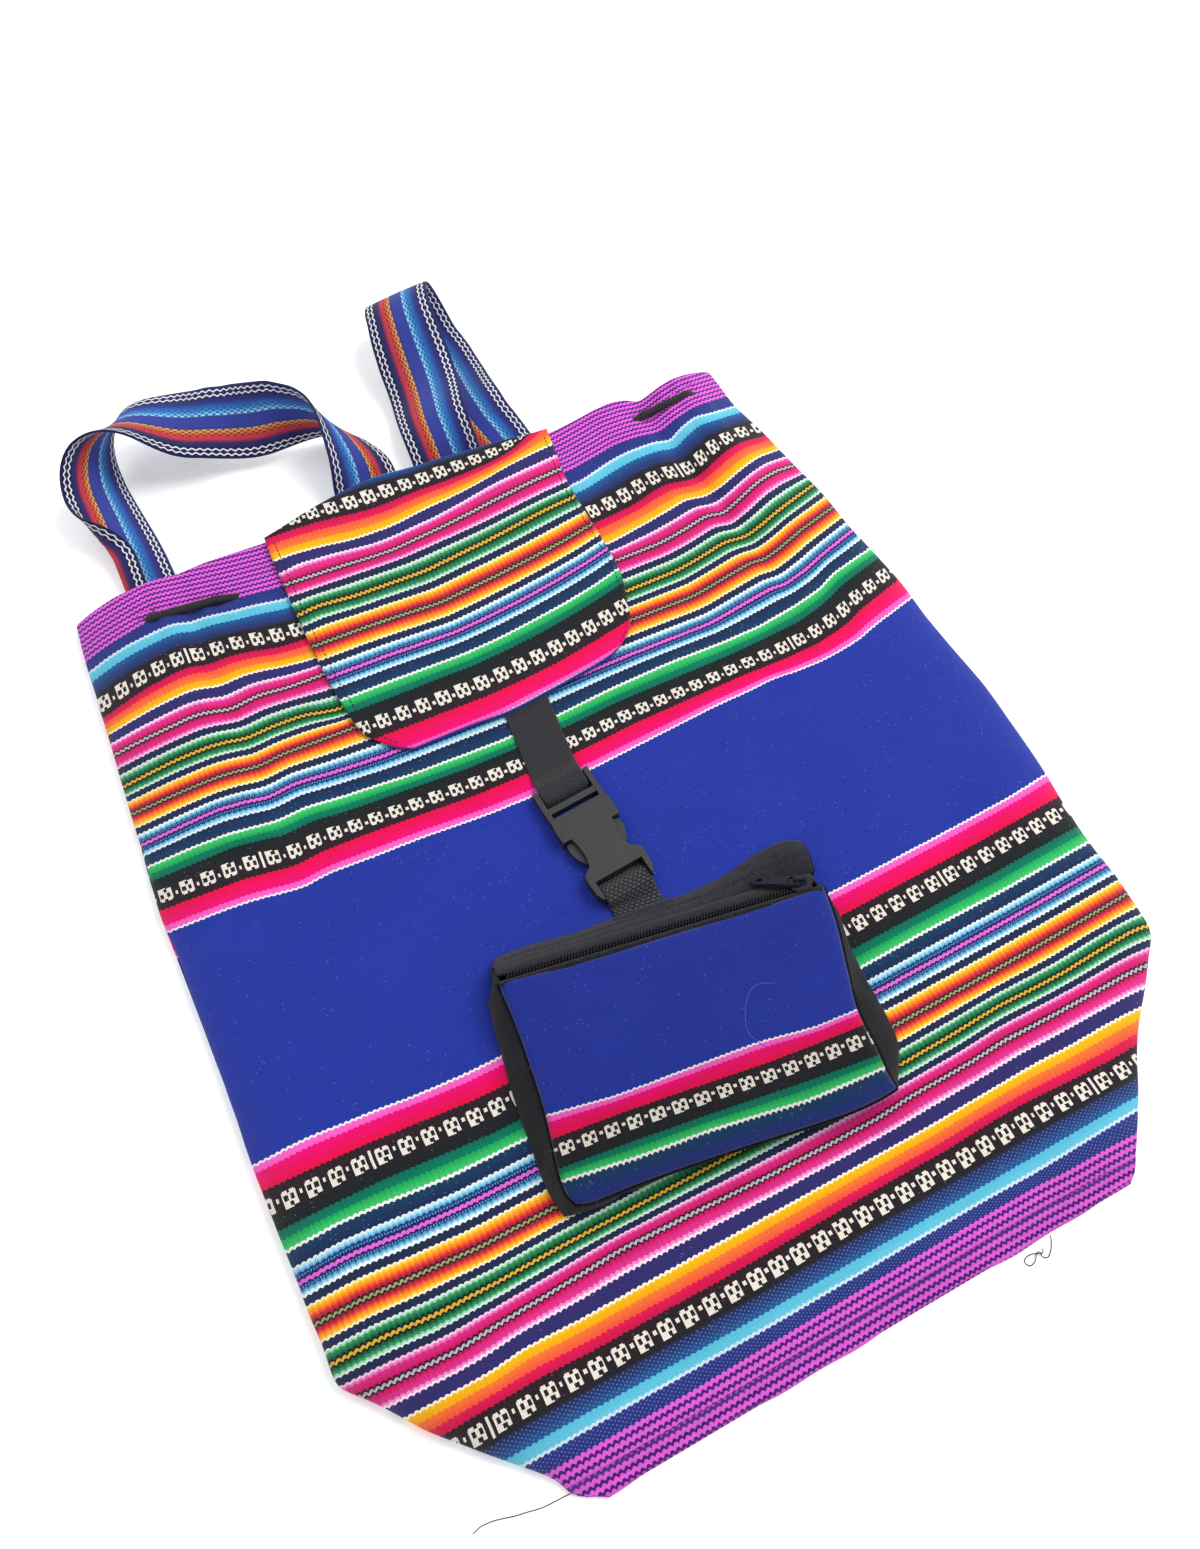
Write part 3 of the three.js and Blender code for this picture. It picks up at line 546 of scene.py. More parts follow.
def strap_material():
    """Woven band: attribute is (across from the red edge, along, -) in millimetres."""
    net = Net("strap_band")
    w, v, e = net.attribute("band")
    step = net.sub(net.m("DIVIDE", net.m("PINGPONG", v, 0.85), 0.85), 0.5)
    wz = net.add(w, net.mul(step, 0.45))
    runs = [
        (0.0, "#1C1E4A"), (6.6, "#2A2A62"), (8.4, "#3C2A60"), (9.3, "#842C4C"), (10.3, "#BC364A"), (11.8, "#C84046"),
        (13.0, "#CE563C"), (14.0, "#DA7C42"), (15.0, "#E09C4E"), (15.9, "#E4B268"), (16.8, "#30388A"), (17.8, "#36429A"),
        (23.6, "#344498"), (24.6, "#9AD6F2"), (25.7, "#74C2E8"), (26.8, "#4A98D0"), (27.9, "#3278BC"), (29.2, "#2A60AA"),
        (30.6, "#2C4898"), (32.0, "#30347C"), (34.0, "#24265C"),
    ]
    color = net.ramp(net.mapped(wz, 0.0, 41.0), [(p / 41.0, srgb(c)) for p, c in runs], "CONSTANT")
    # dotted floats in the warm and the light blue runs
    col = net.m("FLOOR", net.m("DIVIDE", net.sub(w, 0.5), 1.1))
    ph = net.m("FRACT", net.add(net.m("DIVIDE", v, 4.2), net.mul(net.m("FLOORED_MODULO", col, 2.0), 0.5)))
    dots = net.less(ph, 0.45)
    warm = net.both(dots, net.inside(w, 14.6, 2.2))
    color = net.mix(net.mul(warm, 0.85), color, srgb("#7A2430"))
    cold = net.both(dots, net.inside(w, 26.8, 2.3))
    color = net.mix(net.mul(cold, 0.9), color, srgb("#2A52A4"))
    # white chain near both edges: two threads that meet and part
    tri = net.m("DIVIDE", net.m("PINGPONG", v, 2.1), 2.1)
    wave = net.m("SMOOTH_MIN", net.m("SMOOTH_MAX", net.sub(net.mul(tri, 1.4), 0.2), 0.0, 0.2), 1.0, 0.2)
    sep = net.add(0.82, net.mul(wave, 0.95))
    chain = None
    for centre in (3.7, 37.2):
        here = net.inside(net.m("ABSOLUTE", net.sub(w, centre)), sep, 0.44)
        chain = here if chain is None else net.either(chain, here)
    color = net.mix(chain, color, srgb("#E6E8EC"))
    weft = net.noise(net.vec(net.mul(w, 2.2), net.mul(v, 0.12)), 1.0, 2.0)
    pick = net.m("DIVIDE", net.m("PINGPONG", v, 0.45), 0.45)
    thread = net.m("DIVIDE", net.m("PINGPONG", w, 0.36), 0.36)
    # tone of each weft, and painted shade between the picks
    value = net.add(net.mapped(weft, 0.2, 0.8, 0.84, 1.08), net.mapped(pick, 0.0, 1.0, -0.14, 0.06))
    shade = net.node("ShaderNodeHueSaturation")
    net.put(shade.inputs["Value"], value)
    net.put(shade.inputs["Color"], color)
    height = net.add(net.mul(pick, 0.6), net.add(net.mul(thread, 0.5), net.mul(chain, 0.8)))
    return net.close(shade.outputs[0], 0.88, net.bump(height, 0.6, 0.0004), sheen=0.12, specular=0.15)


def webbing_material(name, coarse=False):
    """Twill webbing: attribute is (across, along, -) in millimetres."""
    net = Net(name)
    x, s, e = net.attribute("web")
    if coarse:
        odd = net.m("FLOORED_MODULO", net.m("FLOOR", net.m("DIVIDE", s, 1.55)), 2.0)
        bx = net.m("PINGPONG", net.add(net.m("DIVIDE", x, 1.3), odd), 1.0)
        by = net.m("PINGPONG", net.m("DIVIDE", s, 0.775), 1.0)
        bump = net.m("MULTIPLY", net.m("SMOOTH_MIN", net.mul(bx, 1.5), 1.0, 0.3), net.m("SMOOTH_MIN", net.mul(by, 1.6), 1.0, 0.3))
    else:
        pitch = 1.55
        slant = net.add(s, net.mul(net.m("ABSOLUTE", net.sub(net.m("FLOORED_MODULO", x, 2 * pitch), pitch)), 0.9))
        rope = net.m("DIVIDE", net.m("PINGPONG", slant, 0.5 * pitch), 0.5 * pitch)
        across = net.m("DIVIDE", net.m("PINGPONG", x, pitch / 2), pitch / 2)
        bump = net.m("MULTIPLY", net.m("SMOOTH_MIN", net.mul(rope, 1.7), 1.0, 0.3), net.add(0.25, net.mul(across, 0.75)))
    fine = net.noise(net.vec(net.mul(x, 5.0), net.mul(s, 1.3)), 1.0, 2.0)
    # colour follows the weave's relief: painted highlight on the raised threads and painted shade in the hollows, times
    # a random tone
    value = net.mul(net.mapped(bump, 0.0, 1.0, 0.1, 1.25), net.mapped(fine, 0.2, 0.8, 0.75, 1.2))
    lo, hi = ("#060607", "#46464c") if coarse else ("#08080a", "#38363d")
    color = net.mix(net.m("MULTIPLY", value, 0.8, clamp=True), srgb(lo), srgb(hi))
    return net.close(color, 0.72, net.bump(bump, 0.9, 0.0007), sheen=0.1, specular=0.3)


def black_cloth_material(name, tone="#141416"):
    net = Net(name)
    x, y, e = net.attribute("weave")
    px = net.m("DIVIDE", net.m("PINGPONG", x, 0.3), 0.3)
    py = net.m("DIVIDE", net.m("PINGPONG", y, 0.3), 0.3)
    over = net.m("FLOORED_MODULO", net.add(net.m("FLOOR", net.m("DIVIDE", x, 0.6)), net.m("FLOOR", net.m("DIVIDE", y, 0.6))), 2.0)
    high = net.add(net.mul(over, px), net.mul(net.sub(1.0, over), py))
    lint = net.noise(net.vec(net.mul(x, 0.35), net.mul(y, 0.35)), 1.0, 4.0, 0.65)
    fleck = net.more(net.white(net.vec(net.m("FLOOR", net.m("DIVIDE", x, 0.5)), net.m("FLOOR", net.m("DIVIDE", y, 0.5)))), 0.994)
    # the raised threads of the weave are painted lighter than the hollows (painted highlight and shade); the lint noise
    # adds the cloth's own uneven tone
    value = net.add(net.mul(high, 0.35), net.mapped(lint, 0.3, 0.75, 0.0, 0.5))
    base = srgb(tone)
    color = net.mix(net.m("MULTIPLY", value, 0.7, clamp=True), srgb("#09090b"), [min(1.0, c * 2.1) for c in base[:3]] + [1.0])
    color = net.mix(net.mul(fleck, 0.25), color, srgb("#70707c"))
    height = net.add(high, net.mul(lint, 0.8))
    return net.close(color, 0.94, net.bump(height, 0.5, 0.00025), sheen=0.12, specular=0.12)


def cord_material():
    net = Net("black_cord")
    a, s, e = net.attribute("round")
    p = net.m("FLOORED_MODULO", net.add(s, net.mul(a, 3.2)), 1.6)
    q = net.m("FLOORED_MODULO", net.sub(s, net.mul(a, 3.2)), 1.6)
    braid = net.m("MAXIMUM", net.m("PINGPONG", p, 0.8), net.m("PINGPONG", q, 0.8))
    fine = net.noise(net.vec(net.mul(a, 6.0), net.mul(s, 1.5)), 1.0, 3.0)
    # the braid's raised strands are painted lighter than the grooves between them: painted highlight and shade
    color = net.mix(net.m("MULTIPLY", braid, net.mapped(fine, 0.2, 0.8, 0.5, 1.2), clamp=True), srgb("#0b0a0b"), srgb("#3d383b"))
    return net.close(color, 0.8, net.bump(net.add(braid, net.mul(fine, 0.4)), 0.8, 0.0004), sheen=0.15, specular=0.2)


def plastic_material(name, lo, hi, rough, grain=2600.0, bump=0.12, specular=0.45):
    net = Net(name)
    p = net.object_point()
    fine = net.noise(p, grain, 2.0)
    wide = net.noise(p, 160.0, 3.0)
    scuff = net.noise(net.mapping(p, (900.0, 120.0, 500.0)), 1.0, 3.0, 0.6)
    fac = net.m("ADD", net.mul(wide, 0.6), net.mul(net.mapped(scuff, 0.55, 0.8), 0.4), clamp=True)
    color = net.mix(fac, srgb(lo), srgb(hi))
    r = net.add(rough - 0.08, net.mul(net.add(net.mul(fine, 0.6), net.mul(scuff, 0.4)), 0.22))
    return net.close(color, r, net.bump(fine, bump, 0.0002), specular=specular)


def thread_material(name, lo, hi):
    net = Net(name)
    p = net.object_point()
    fine = net.noise(p, 3500.0, 2.0)
    color = net.mix(fine, srgb(lo), srgb(hi))
    return net.close(color, 0.85, net.bump(fine, 0.4, 0.0002), sheen=0.1, specular=0.2)


def floor_material():
    net = Net("studio_floor")
    p = net.object_point()
    wide = net.noise(p, 2.2, 2.0)
    far = net.node("ShaderNodeVectorMath")
    far.operation = "LENGTH"
    net.put(far.inputs[0], p)
    color = net.mix(net.mapped(wide, 0.3, 0.7), srgb("#FBFBFC"), srgb("#FEFEFE"))
    # painted fall-off of the light: the white floor is drawn greyer away from the middle
    color = net.mix(net.mapped(far.outputs["Value"], 0.55, 1.5), color, srgb("#BBBABB"))
    # painted light: the floor glows faintly near the middle, though it is no lamp, which washes out the shadows there
    net.bsdf.inputs["Emission Color"].default_value = (1.0, 1.0, 1.0, 1.0)
    net.put(net.bsdf.inputs["Emission Strength"], net.mapped(far.outputs["Value"], 0.4, 1.2, 0.2, 0.0))
    return net.close(color, 0.9, None, specular=0.05)


# -------------------------------------------------------- cloth stripes -----
# Where each colour change of the front lies, (X, Y) seen on the level of the crown.
BODY_STRIPES = [
    (227.0, [(-200, 459.5), (-190, 463.3), (-178, 466.3), (-160, 470), (-116.7, 461.7), (-95, 458.3), (85, 460), (105, 463.3), (115, 465.3), (130, 464.7), (142.5, 461.7), (155, 466.3), (171.7, 470), (188, 468.7)]),
    (220.0, [(-200, 452.8), (-190, 456.7), (-178, 459.5), (-160, 461.3), (-151.7, 461.7), (-146.7, 458), (-136.7, 458), (-123, 455), (-110, 453.3), (-95, 449.3), (85, 450), (105, 455.3), (116.7, 457), (130, 457), (139, 456.3), (145, 452.5), (153, 458.3), (166.7, 463.3), (175, 461.3), (191.7, 459.5)]),
    (193.0, [(-200, 422.5), (-190, 425.5), (-178, 428.8), (-160, 431.3), (-151.7, 431.2), (-146.7, 428), (-133, 428.3), (-120, 425.3), (-110, 421.7), (-95, 420), (85, 419.3), (105, 420.8), (118, 424.2), (128, 425.8), (136.7, 423), (145, 421.7), (155, 425.3), (166.7, 430.3), (180, 433.7), (193, 431.7)]),
    (179.5, [(-200, 411.7), (-190, 413.7), (-178, 415.8), (-160, 417.5), (-151.7, 416.3), (-145, 413), (-130, 413.7), (-120, 412), (-110, 409.2), (-95, 406.5), (82, 403), (105, 406.3), (125, 409.5), (132.5, 411.3), (142.5, 407.5), (155, 410), (171.7, 415.8), (185, 419.2), (195, 418.5)]),
    (165.0, [(-200, 398.7), (-190, 400), (-178, 400.8), (-160, 402), (-151.7, 400), (-142.5, 396.7), (-128, 398.7), (-110, 395.8), (105, 390.3), (121.7, 392.5), (138.3, 395.8), (145.8, 392), (160, 397.5), (175, 403.3), (188, 405.5), (195, 404.7)]),
    (146.6, [(-200, 379.2), (-178, 381.3), (-160, 381.2), (-150, 379.7), (-141.7, 377), (-127, 377.8), (-110, 376.7), (-95, 371.7), (78, 370), (105, 369.7), (121.7, 372), (138, 375), (148.3, 372.5), (161.7, 375.8), (175, 380.3), (195, 385.3)]),
    (128.5, [(-200, 362.5), (-183, 363), (-160, 362.8), (-150, 361.2), (-141.7, 359.2), (-127, 360.5), (-110, 359.5), (105, 350.8), (121.7, 353.3), (145, 356.3), (150, 354.2), (163, 357.5), (178, 362.5), (195, 366.3)]),
    (110.75, [(-200, 344.2), (-183, 345), (-166.7, 345.3), (-153, 343.3), (-142.5, 340.3), (-128, 342), (-110, 339.2), (-82, 336), (58, 333), (85, 332), (105, 331.3), (126.7, 334.2), (145, 336.3), (151.7, 334.7), (168.3, 338.3), (183, 343.3), (195, 346.7)]),
    (96.9, [(-200, 331.7), (-183, 331.7), (-166.7, 330.5), (-153, 328), (-142.5, 326.2), (-128, 327), (-110, 324.2), (-75, 320), (-48, 318), (-25, 316.7), (5, 317.3), (38, 319), (72, 319.3), (105, 317.5), (126.7, 317.5), (148, 320), (168, 323.7), (180, 329.2), (195, 332)]),
    (88.0, [(-200, 323.7), (-166.7, 323), (-153, 320.5), (-142.5, 317.5), (-128, 318.7), (-110, 315.8), (-48, 310.5), (5, 309.5), (38, 310.5), (105, 309), (148, 310.8), (168, 315.8), (180, 320.8), (195, 324.2)]),
    (71.0, [(-200, 307), (-166.7, 304.7), (-153, 302), (-142.5, 300), (-130, 301.2), (-110, 300.3), (-48, 295), (5, 294), (38, 295.5), (105, 295), (126.7, 293.7), (148, 294.2), (168, 297.5), (180, 302.5), (195, 306.3)]),
    (57.6, [(-200, 295), (-183, 294.2), (-166.7, 292.5), (-153, 289.7), (-143, 287.8), (-130, 289.2), (-110, 287.5), (-82, 286), (-55, 283.3), (-28, 281.7), (12, 282.3), (45, 284), (78, 285.7), (105, 285.8), (115, 286.7), (128, 284.7), (148, 284.2), (168, 286.3), (180, 290), (195, 293.3)]),
    (-57.6, [(-200, 177.5), (-183, 177.8), (-166.7, 176.3), (-150, 175), (-133, 173), (-110, 171.7), (78, 171.2), (110, 171.7), (150, 172.8), (185, 174), (205, 175.7)]),
    (-71.0, [(-200, 165.3), (-160, 163.7), (-110, 159.5), (78, 159.2), (110, 159.7), (150, 160.5), (205, 163)]),
    (-88.0, [(-200, 147.5), (-160, 147), (-110, 143), (75, 143), (110, 143.3), (150, 144.2), (205, 146)]),
    (-96.9, [(-200, 138.7), (-183, 139.2), (-166.7, 138.3), (-133, 135), (-110, 134.7), (73, 133.7), (110, 134.7), (150, 135), (205, 136.7)]),
    (-110.75, [(-200, 125), (-183, 125.5), (-160, 123.3), (-133, 121.7), (-110, 121.3), (72, 120.8), (110, 121.2), (150, 122), (205, 123.6)]),
    (-128.5, [(-200, 107.5), (-183, 107.5), (-160, 105.8), (-133, 103.8), (-110, 103.8), (70, 103.7), (110, 104.2), (150, 105), (203, 106.7)]),
    (-146.6, [(-200, 90.8), (-183, 90.8), (-160, 88.7), (-133, 88.3), (-110, 88.8), (65, 88), (93, 88.7), (120, 90), (140, 89.4), (157, 89.4), (178, 90.6), (195, 91), (204, 90), (214, 87.5)]),
    (-165.0, [(-200, 75.3), (-183, 74.2), (-160, 73), (-133, 74.5), (-110, 75.3), (-82, 76.7), (-48, 75.7), (-15, 74), (18, 73.3), (45, 73.3), (60, 74.7), (93, 75), (110, 76.2), (128, 75.8), (147, 75.6), (163, 75.7), (179, 75.8), (191, 75.1), (206, 72.5)]),
    (-179.5, [(-183, 60.3), (-150, 59.7), (-133, 61.2), (-110, 60.3), (60, 59.7), (93, 60.6), (117, 61.2), (136, 60.6), (155, 60.8), (176, 60.3), (192, 58)]),
    (-193.0, [(-175, 48.3), (-133, 49.2), (-110, 48.3), (-48, 47.6), (18, 48.5), (60, 48.3), (91, 49.6), (109, 49.3), (126, 48.3), (146, 47.4), (165, 47.6), (180, 46)]),
    (-220.0, [(-170, 24.3), (-115, 24.5), (-48, 23.5), (60, 23.7), (93, 23.3), (127, 24.3), (145, 24.5), (158, 24)]),
    (-227.0, [(-142, 18.6), (-82, 17.9), (60, 19.2), (87, 18.9), (103, 17.9), (122, 17.7), (138, 17.1)]),
]
FLAP_STRIPES = [
    (206.0, [(-90, 507), (-60, 504.5), (-44, 502.6), (-33, 502.6), (-26, 502.3), (-20, 501.7), (-13, 500.8), (-6, 499.7), (0, 499.2), (8, 499.4), (19, 499.1), (29, 498.1), (40, 497.3), (50, 497), (60, 497.2), (70, 499), (85, 505)]),
    (193.0, [(-88, 492.4), (-79, 492.3), (-66, 491.3), (-59, 490.6), (-53, 489.4), (-46, 488.3), (-40, 486.9), (-33, 485.9), (-27, 485.3), (-20, 485.3), (-12, 485.7), (2, 485.7), (16, 485), (31, 485.1), (42, 485.6), (50, 486.5), (58, 488), (66, 491), (75, 495.6), (85, 501)]),
    (179.5, [(-90, 476.2), (-81, 476.1), (-69, 474.4), (-62, 473.4), (-56, 472), (-50, 470.8), (-43, 470), (-36, 469.7), (-29, 469.4), (-23, 469.4), (-15, 470.2), (-3, 471.9), (7, 472.6), (18, 473.4), (30, 474.9), (42, 477.1), (50, 478.8), (57, 479.7), (65, 480.7), (73, 481.4), (82, 482)]),
    (173.0, [(-90, 466.7), (-80, 468.2), (-60, 466), (-40, 462.6), (-30, 462), (0, 463.9), (20, 467), (40, 470.7), (60, 472.2), (80, 473.5)]),
    (165.0, [(-90, 458), (-60, 455.7), (-40, 453.9), (-30, 453.2), (0, 455.5), (20, 457.6), (40, 460.1), (60, 462), (80, 463.2)]),
    (157.0, [(-90, 449.5), (-60, 447.6), (-30, 445.7), (0, 447), (20, 448), (40, 450), (60, 452), (78, 453.2)]),
    (146.6, [(-90, 436.4), (-80, 437.4), (-60, 434.2), (-20, 432), (0, 433.9), (20, 435.7), (40, 438.2), (60, 440.5), (77, 441.4)]),
    (128.5, [(-90, 413.9), (-60, 412.6), (-40, 411), (-20, 408.9), (0, 410.5), (20, 412), (40, 413.9), (60, 416.4), (77, 419.5)]),
    (110.75, [(-90, 392), (-60, 390.7), (-40, 389.1), (-20, 387.9), (0, 388.9), (20, 390.7), (40, 393.2), (60, 396.4), (76, 400.1)]),
    (96.9, [(-90, 376.4), (-60, 375.1), (-20, 373.2), (0, 373.9), (20, 375.7), (40, 378), (60, 381.4), (75, 385.1)]),
    (88.0, [(-85, 367), (-60, 366), (-20, 364.7), (0, 365.5), (20, 367), (40, 369.5), (60, 373), (73, 375.7)]),
    (71.0, [(-82, 347.6), (-60, 346.4), (-20, 344.5), (0, 345.1), (20, 346.4), (40, 348.9), (60, 352), (70, 354)]),
    (61.8, [(-60, 335.5), (-20, 334.2), (0, 335.7), (20, 337), (40, 338.9), (55, 341.4)]),
    (58.0, [(-65, 333), (-20, 331.1), (0, 332.6), (20, 334.5), (45, 337)]),
]
POCKET_STRIPES = [
    (57.6, [(-85.6, 139.4), (-55, 133), (-25, 129.7), (13.7, 125), (38.7, 119.4), (59.4, 117.7)]),
    (71.0, [(-89.4, 129.4), (-55, 125.4), (-25, 121), (13.7, 115), (59.4, 110.6)]),
    (88.0, [(-91, 117), (-55, 112.5), (-25, 108), (20, 101), (57.5, 96)]),
    (96.4, [(-90, 112), (-55, 106), (-25, 102), (20, 93.7), (57.5, 90.6)]),
    (97.7, [(-90, 110.7), (-55, 104.7), (-25, 100.7), (20, 92.4), (57.5, 89.3)]),
]


def stripe_field(tables, sigma=3.0, rising=True, below=1.0, above=1.0):
    """Function from a point on the crown's level to its place in the stripe order."""
    rows = sorted(tables, key=lambda r: r[1][0][1] if rising else -r[1][0][1])
    lines = [curve_of(pts, sigma) for _, pts in rows]
    order = [d for d, _ in rows]
    sign = 1.0 if order[-1] > order[0] else -1.0

    def place(x, y):
        x, y = np.asarray(x, float), np.asarray(y, float)
        ys = np.stack([f(x) for f in lines])
        out = order[0] + sign * (y - ys[0]) * below
        for k in range(len(order) - 1):
            f = (y - ys[k]) / (ys[k + 1] - ys[k])
            out = np.where(y >= ys[k], order[k] + (order[k + 1] - order[k]) * f, out)
        return np.where(y >= ys[-1], order[-1] + sign * (y - ys[-1]) * above, out)

    return place


body_place = stripe_field(BODY_STRIPES)
flap_place = stripe_field(FLAP_STRIPES, above=1.7)
pocket_place = stripe_field(POCKET_STRIPES, below=0.42, above=1.0)



# ------------------------------------------------------------ front cloth ---
LEFT_EDGE = [
    (0, -127.5), (2, -133), (5, -138.2), (8, -140.6), (11, -141.2), (14, -143), (17, -145.5), (22, -150.9), (27, -156.1),
    (32, -161.4), (42, -171), (52, -181.2), (62, -189.3), (72, -197.6), (78, -203.4), (82, -207.4), (86, -208.6), (100, -207.8),
    (118, -209.2), (142, -209.7), (166, -210), (202, -210.2), (250, -210.8), (286, -211.4), (310, -212), (334, -211.2),
    (358, -209.4), (394, -208), (430, -206.4), (454, -204.9), (478, -203.8), (492, -203.2),
]
RIGHT_EDGE = [
    (0, 130.5), (2, 134.6), (6, 137.8), (12, 142.2), (22, 150.5), (32, 158.6), (42, 166.2), (52, 175.2), (62, 185.6),
    (72, 195.6), (78, 201.8), (83, 207.6), (87, 210.4), (92, 211.8), (104, 212.6), (118, 213.5), (132, 212.7), (146, 212.8),
    (158, 213.9), (178, 215.8), (202, 218), (226, 219), (238, 219.1), (262, 217), (286, 215.6), (310, 215.9), (334, 214.2),
    (358, 211.6), (382, 210.9), (394, 209.6), (418, 206.9), (442, 203.2), (466, 199.4), (492, 198.4),
]
left_x = curve_of(LEFT_EDGE, 2.0)
right_x = curve_of(RIGHT_EDGE, 2.0)
# front edge of the mouth, seen on the level of the crown
MOUTH_SEEN = curve_of(
    [(-212, 476.5), (-205, 481), (-198, 484.8), (-190, 488.3), (-178, 492), (-160, 493.7), (-151.7, 493.7), (-142.5, 491.3), (-128, 492.3),
     (-110, 491.3), (-90, 490), (0, 488), (90, 490.5), (105, 492.5), (115, 494.2), (128, 495.3), (136.7, 493), (142.7, 487.6),
     (148.3, 489.4), (160, 493.3), (170, 495.3), (180, 494.7), (189, 492), (193, 488.5), (200, 480)], 2.0)
EXPOSED = [[(-167, 471), (-155, 469.6), (-142, 468), (-122, 465)], [(135, 477.4), (144, 478.6), (155, 479.8), (175.5, 481)]]
lumps_wide, lumps_mid, lumps_fine = Lumps(3, (95, 80)), Lumps(4, (38, 44)), Lumps(5, (15, 17))


def rim(d, width, power):
    t = np.clip(d / width, 0, 1)
    return (1 - (1 - t) ** power) ** (1 / power)


def body_height(x, y):
    """Top of the front cloth above the floor."""
    x, y = np.asarray(x, float), np.asarray(y, float)
    slope_l = (left_x(y + 2) - left_x(y - 2)) / 4
    slope_r = (right_x(y + 2) - right_x(y - 2)) / 4
    dl = (x - left_x(y)) / np.sqrt(1 + slope_l**2)
    dr = (right_x(y) - x) / np.sqrt(1 + slope_r**2)
    side = np.minimum(rim(dl, 46, 2.6), 1) * rim(dr, 46, 2.6)
    foot = 0.06 + 0.94 * rim(np.maximum(y - 5.0, 0), 52, 2.0)
    top = 17.0 + 0.9 * lumps_wide(x, y) + 0.55 * lumps_mid(x, y) + 0.18 * lumps_fine(x, y)
    # the slack cloth of the mouth: a lifted left end and a puff beside the right cord
    high = smooth(285, 470, y)
    top = top + 5.0 * high * smooth(-141, -151, x) * smooth(-204, -168, x)
    valley_l = bell(x, -145.5 - 3.0 * smooth(470, 330, y), 4.0)
    top = top - 1.8 * smooth(280, 400, y) * valley_l
    fold_r = 143 + 9 * smooth(470, 345, y)
    top = top + 6.5 * smooth(300, 480, y) * bell(x, 168 + 5 * smooth(470, 380, y), 17)
    top = top - 2.6 * smooth(315, 430, y) * bell(x, fold_r, 4.6)
    top = top + 2.2 * smooth(330, 470, y) * bell(x, 122, 15)
    # soft diagonal drag lines from the folds into the blue field
    for cx, cy, ang, long, wide, amp in (
        (158, 322, 68, 46, 5, 1.2), (-147, 322, 98, 52, 5, 1.2), (182, 300, 60, 40, 6, 1.0), (118, 300, 118, 34, 6, 0.8),
        (-172, 292, 40, 30, 6, 0.7), (60, 232, 150, 55, 9, 0.8), (-120, 225, 30, 55, 9, 0.8), (130, 190, 20, 45, 8, 0.8),
        (-150, 120, 155, 45, 8, 0.8), (160, 90, 160, 40, 8, 0.7), (0, 66, 4, 70, 9, 0.7), (-40, 300, 12, 55, 8, 0.6),
    ):
        a = math.radians(ang)
        u = (x - cx) * math.cos(a) + (y - cy) * math.sin(a)
        v = -(x - cx) * math.sin(a) + (y - cy) * math.cos(a)
        top = top + amp * np.exp(-((u / long) ** 2) - (v / wide) ** 2)
    # gathers under each length of cord, and the dent that the cord lies in
    for k, path in enumerate(EXPOSED):
        p = np.array(path)
        x0, x1 = p[0, 0], p[-1, 0]
        line = np.interp(x, p[:, 0], p[:, 1])
        near = smooth(x0 - 16, x0 + 2, x) * smooth(x1 + 16, x1 - 2, x)
        top = top + near * 0.8 * np.cos((x - x0) * 2 * math.pi / 11.0 + k) * np.exp(-np.abs(y - line) / 24.0)
        over = smooth(x0 - 4, x0 + 3, x) * smooth(x1 + 4, x1 - 3, x)
        top = top - over * 1.5 * bell(y, line, 4.2)
        for xe, ye in (path[0], path[-1]):
            top = top - 2.2 * np.exp(-(((x - xe) / 4.0) ** 2) - ((y - ye) / 3.0) ** 2)
    z = 2.2 + (top - 2.2) * side * foot
    # stitch line of the bottom seam
    z = z - 0.7 * bell(y, 9.5, 1.1) * smooth(0.0, 1.0, y)
    return z


def mouth_edge(x):
    y = np.full_like(np.asarray(x, float), 491.0)
    for _ in range(4):
        z = body_height(x, y)
        k = (CAM[2] - z) / (CAM[2] - 17.0)
        xs, _ys = on_plane(x, y, z)
        y = CAM[1] + (MOUTH_SEEN(xs) - CAM[1]) * k
    return y


NU, NV = 196, 196
u = np.linspace(0, 1, NU)
su = u - 0.86 * np.sin(2 * np.pi * u) / (2 * np.pi)
v = np.linspace(0, 1, NV)
sv = v - 0.35 * np.sin(2 * np.pi * v) / (2 * np.pi)
V0 = sv[:, None] * 492.0
XL, XR = left_x(V0), right_x(V0)
X = XL + (XR - XL) * su[None, :]
edge_now = mouth_edge(X[-1])
edge_now = edge_now - 1.8 * smooth(2.6, 0.0, np.minimum(X[-1] - XL[-1], XR[-1] - X[-1]))
Y = sv[:, None] * (1 + 0 * X) * edge_now[None, :]
Z = body_height(X, Y)
beside = np.minimum(X - XL, XR - X)
Z = Z - np.maximum(Z - 1.5, 0) * smooth(1.2, 0.0, np.minimum(beside, Y))
wave = 0.8 * Lumps(11, (30, 26))(X, Y)
X = X + wave * (1 - smooth(0, 6, beside))
Y[0] += 0.5 * np.sin(X[0] / 17.0) + 0.35 * np.sin(X[0] / 6.1)
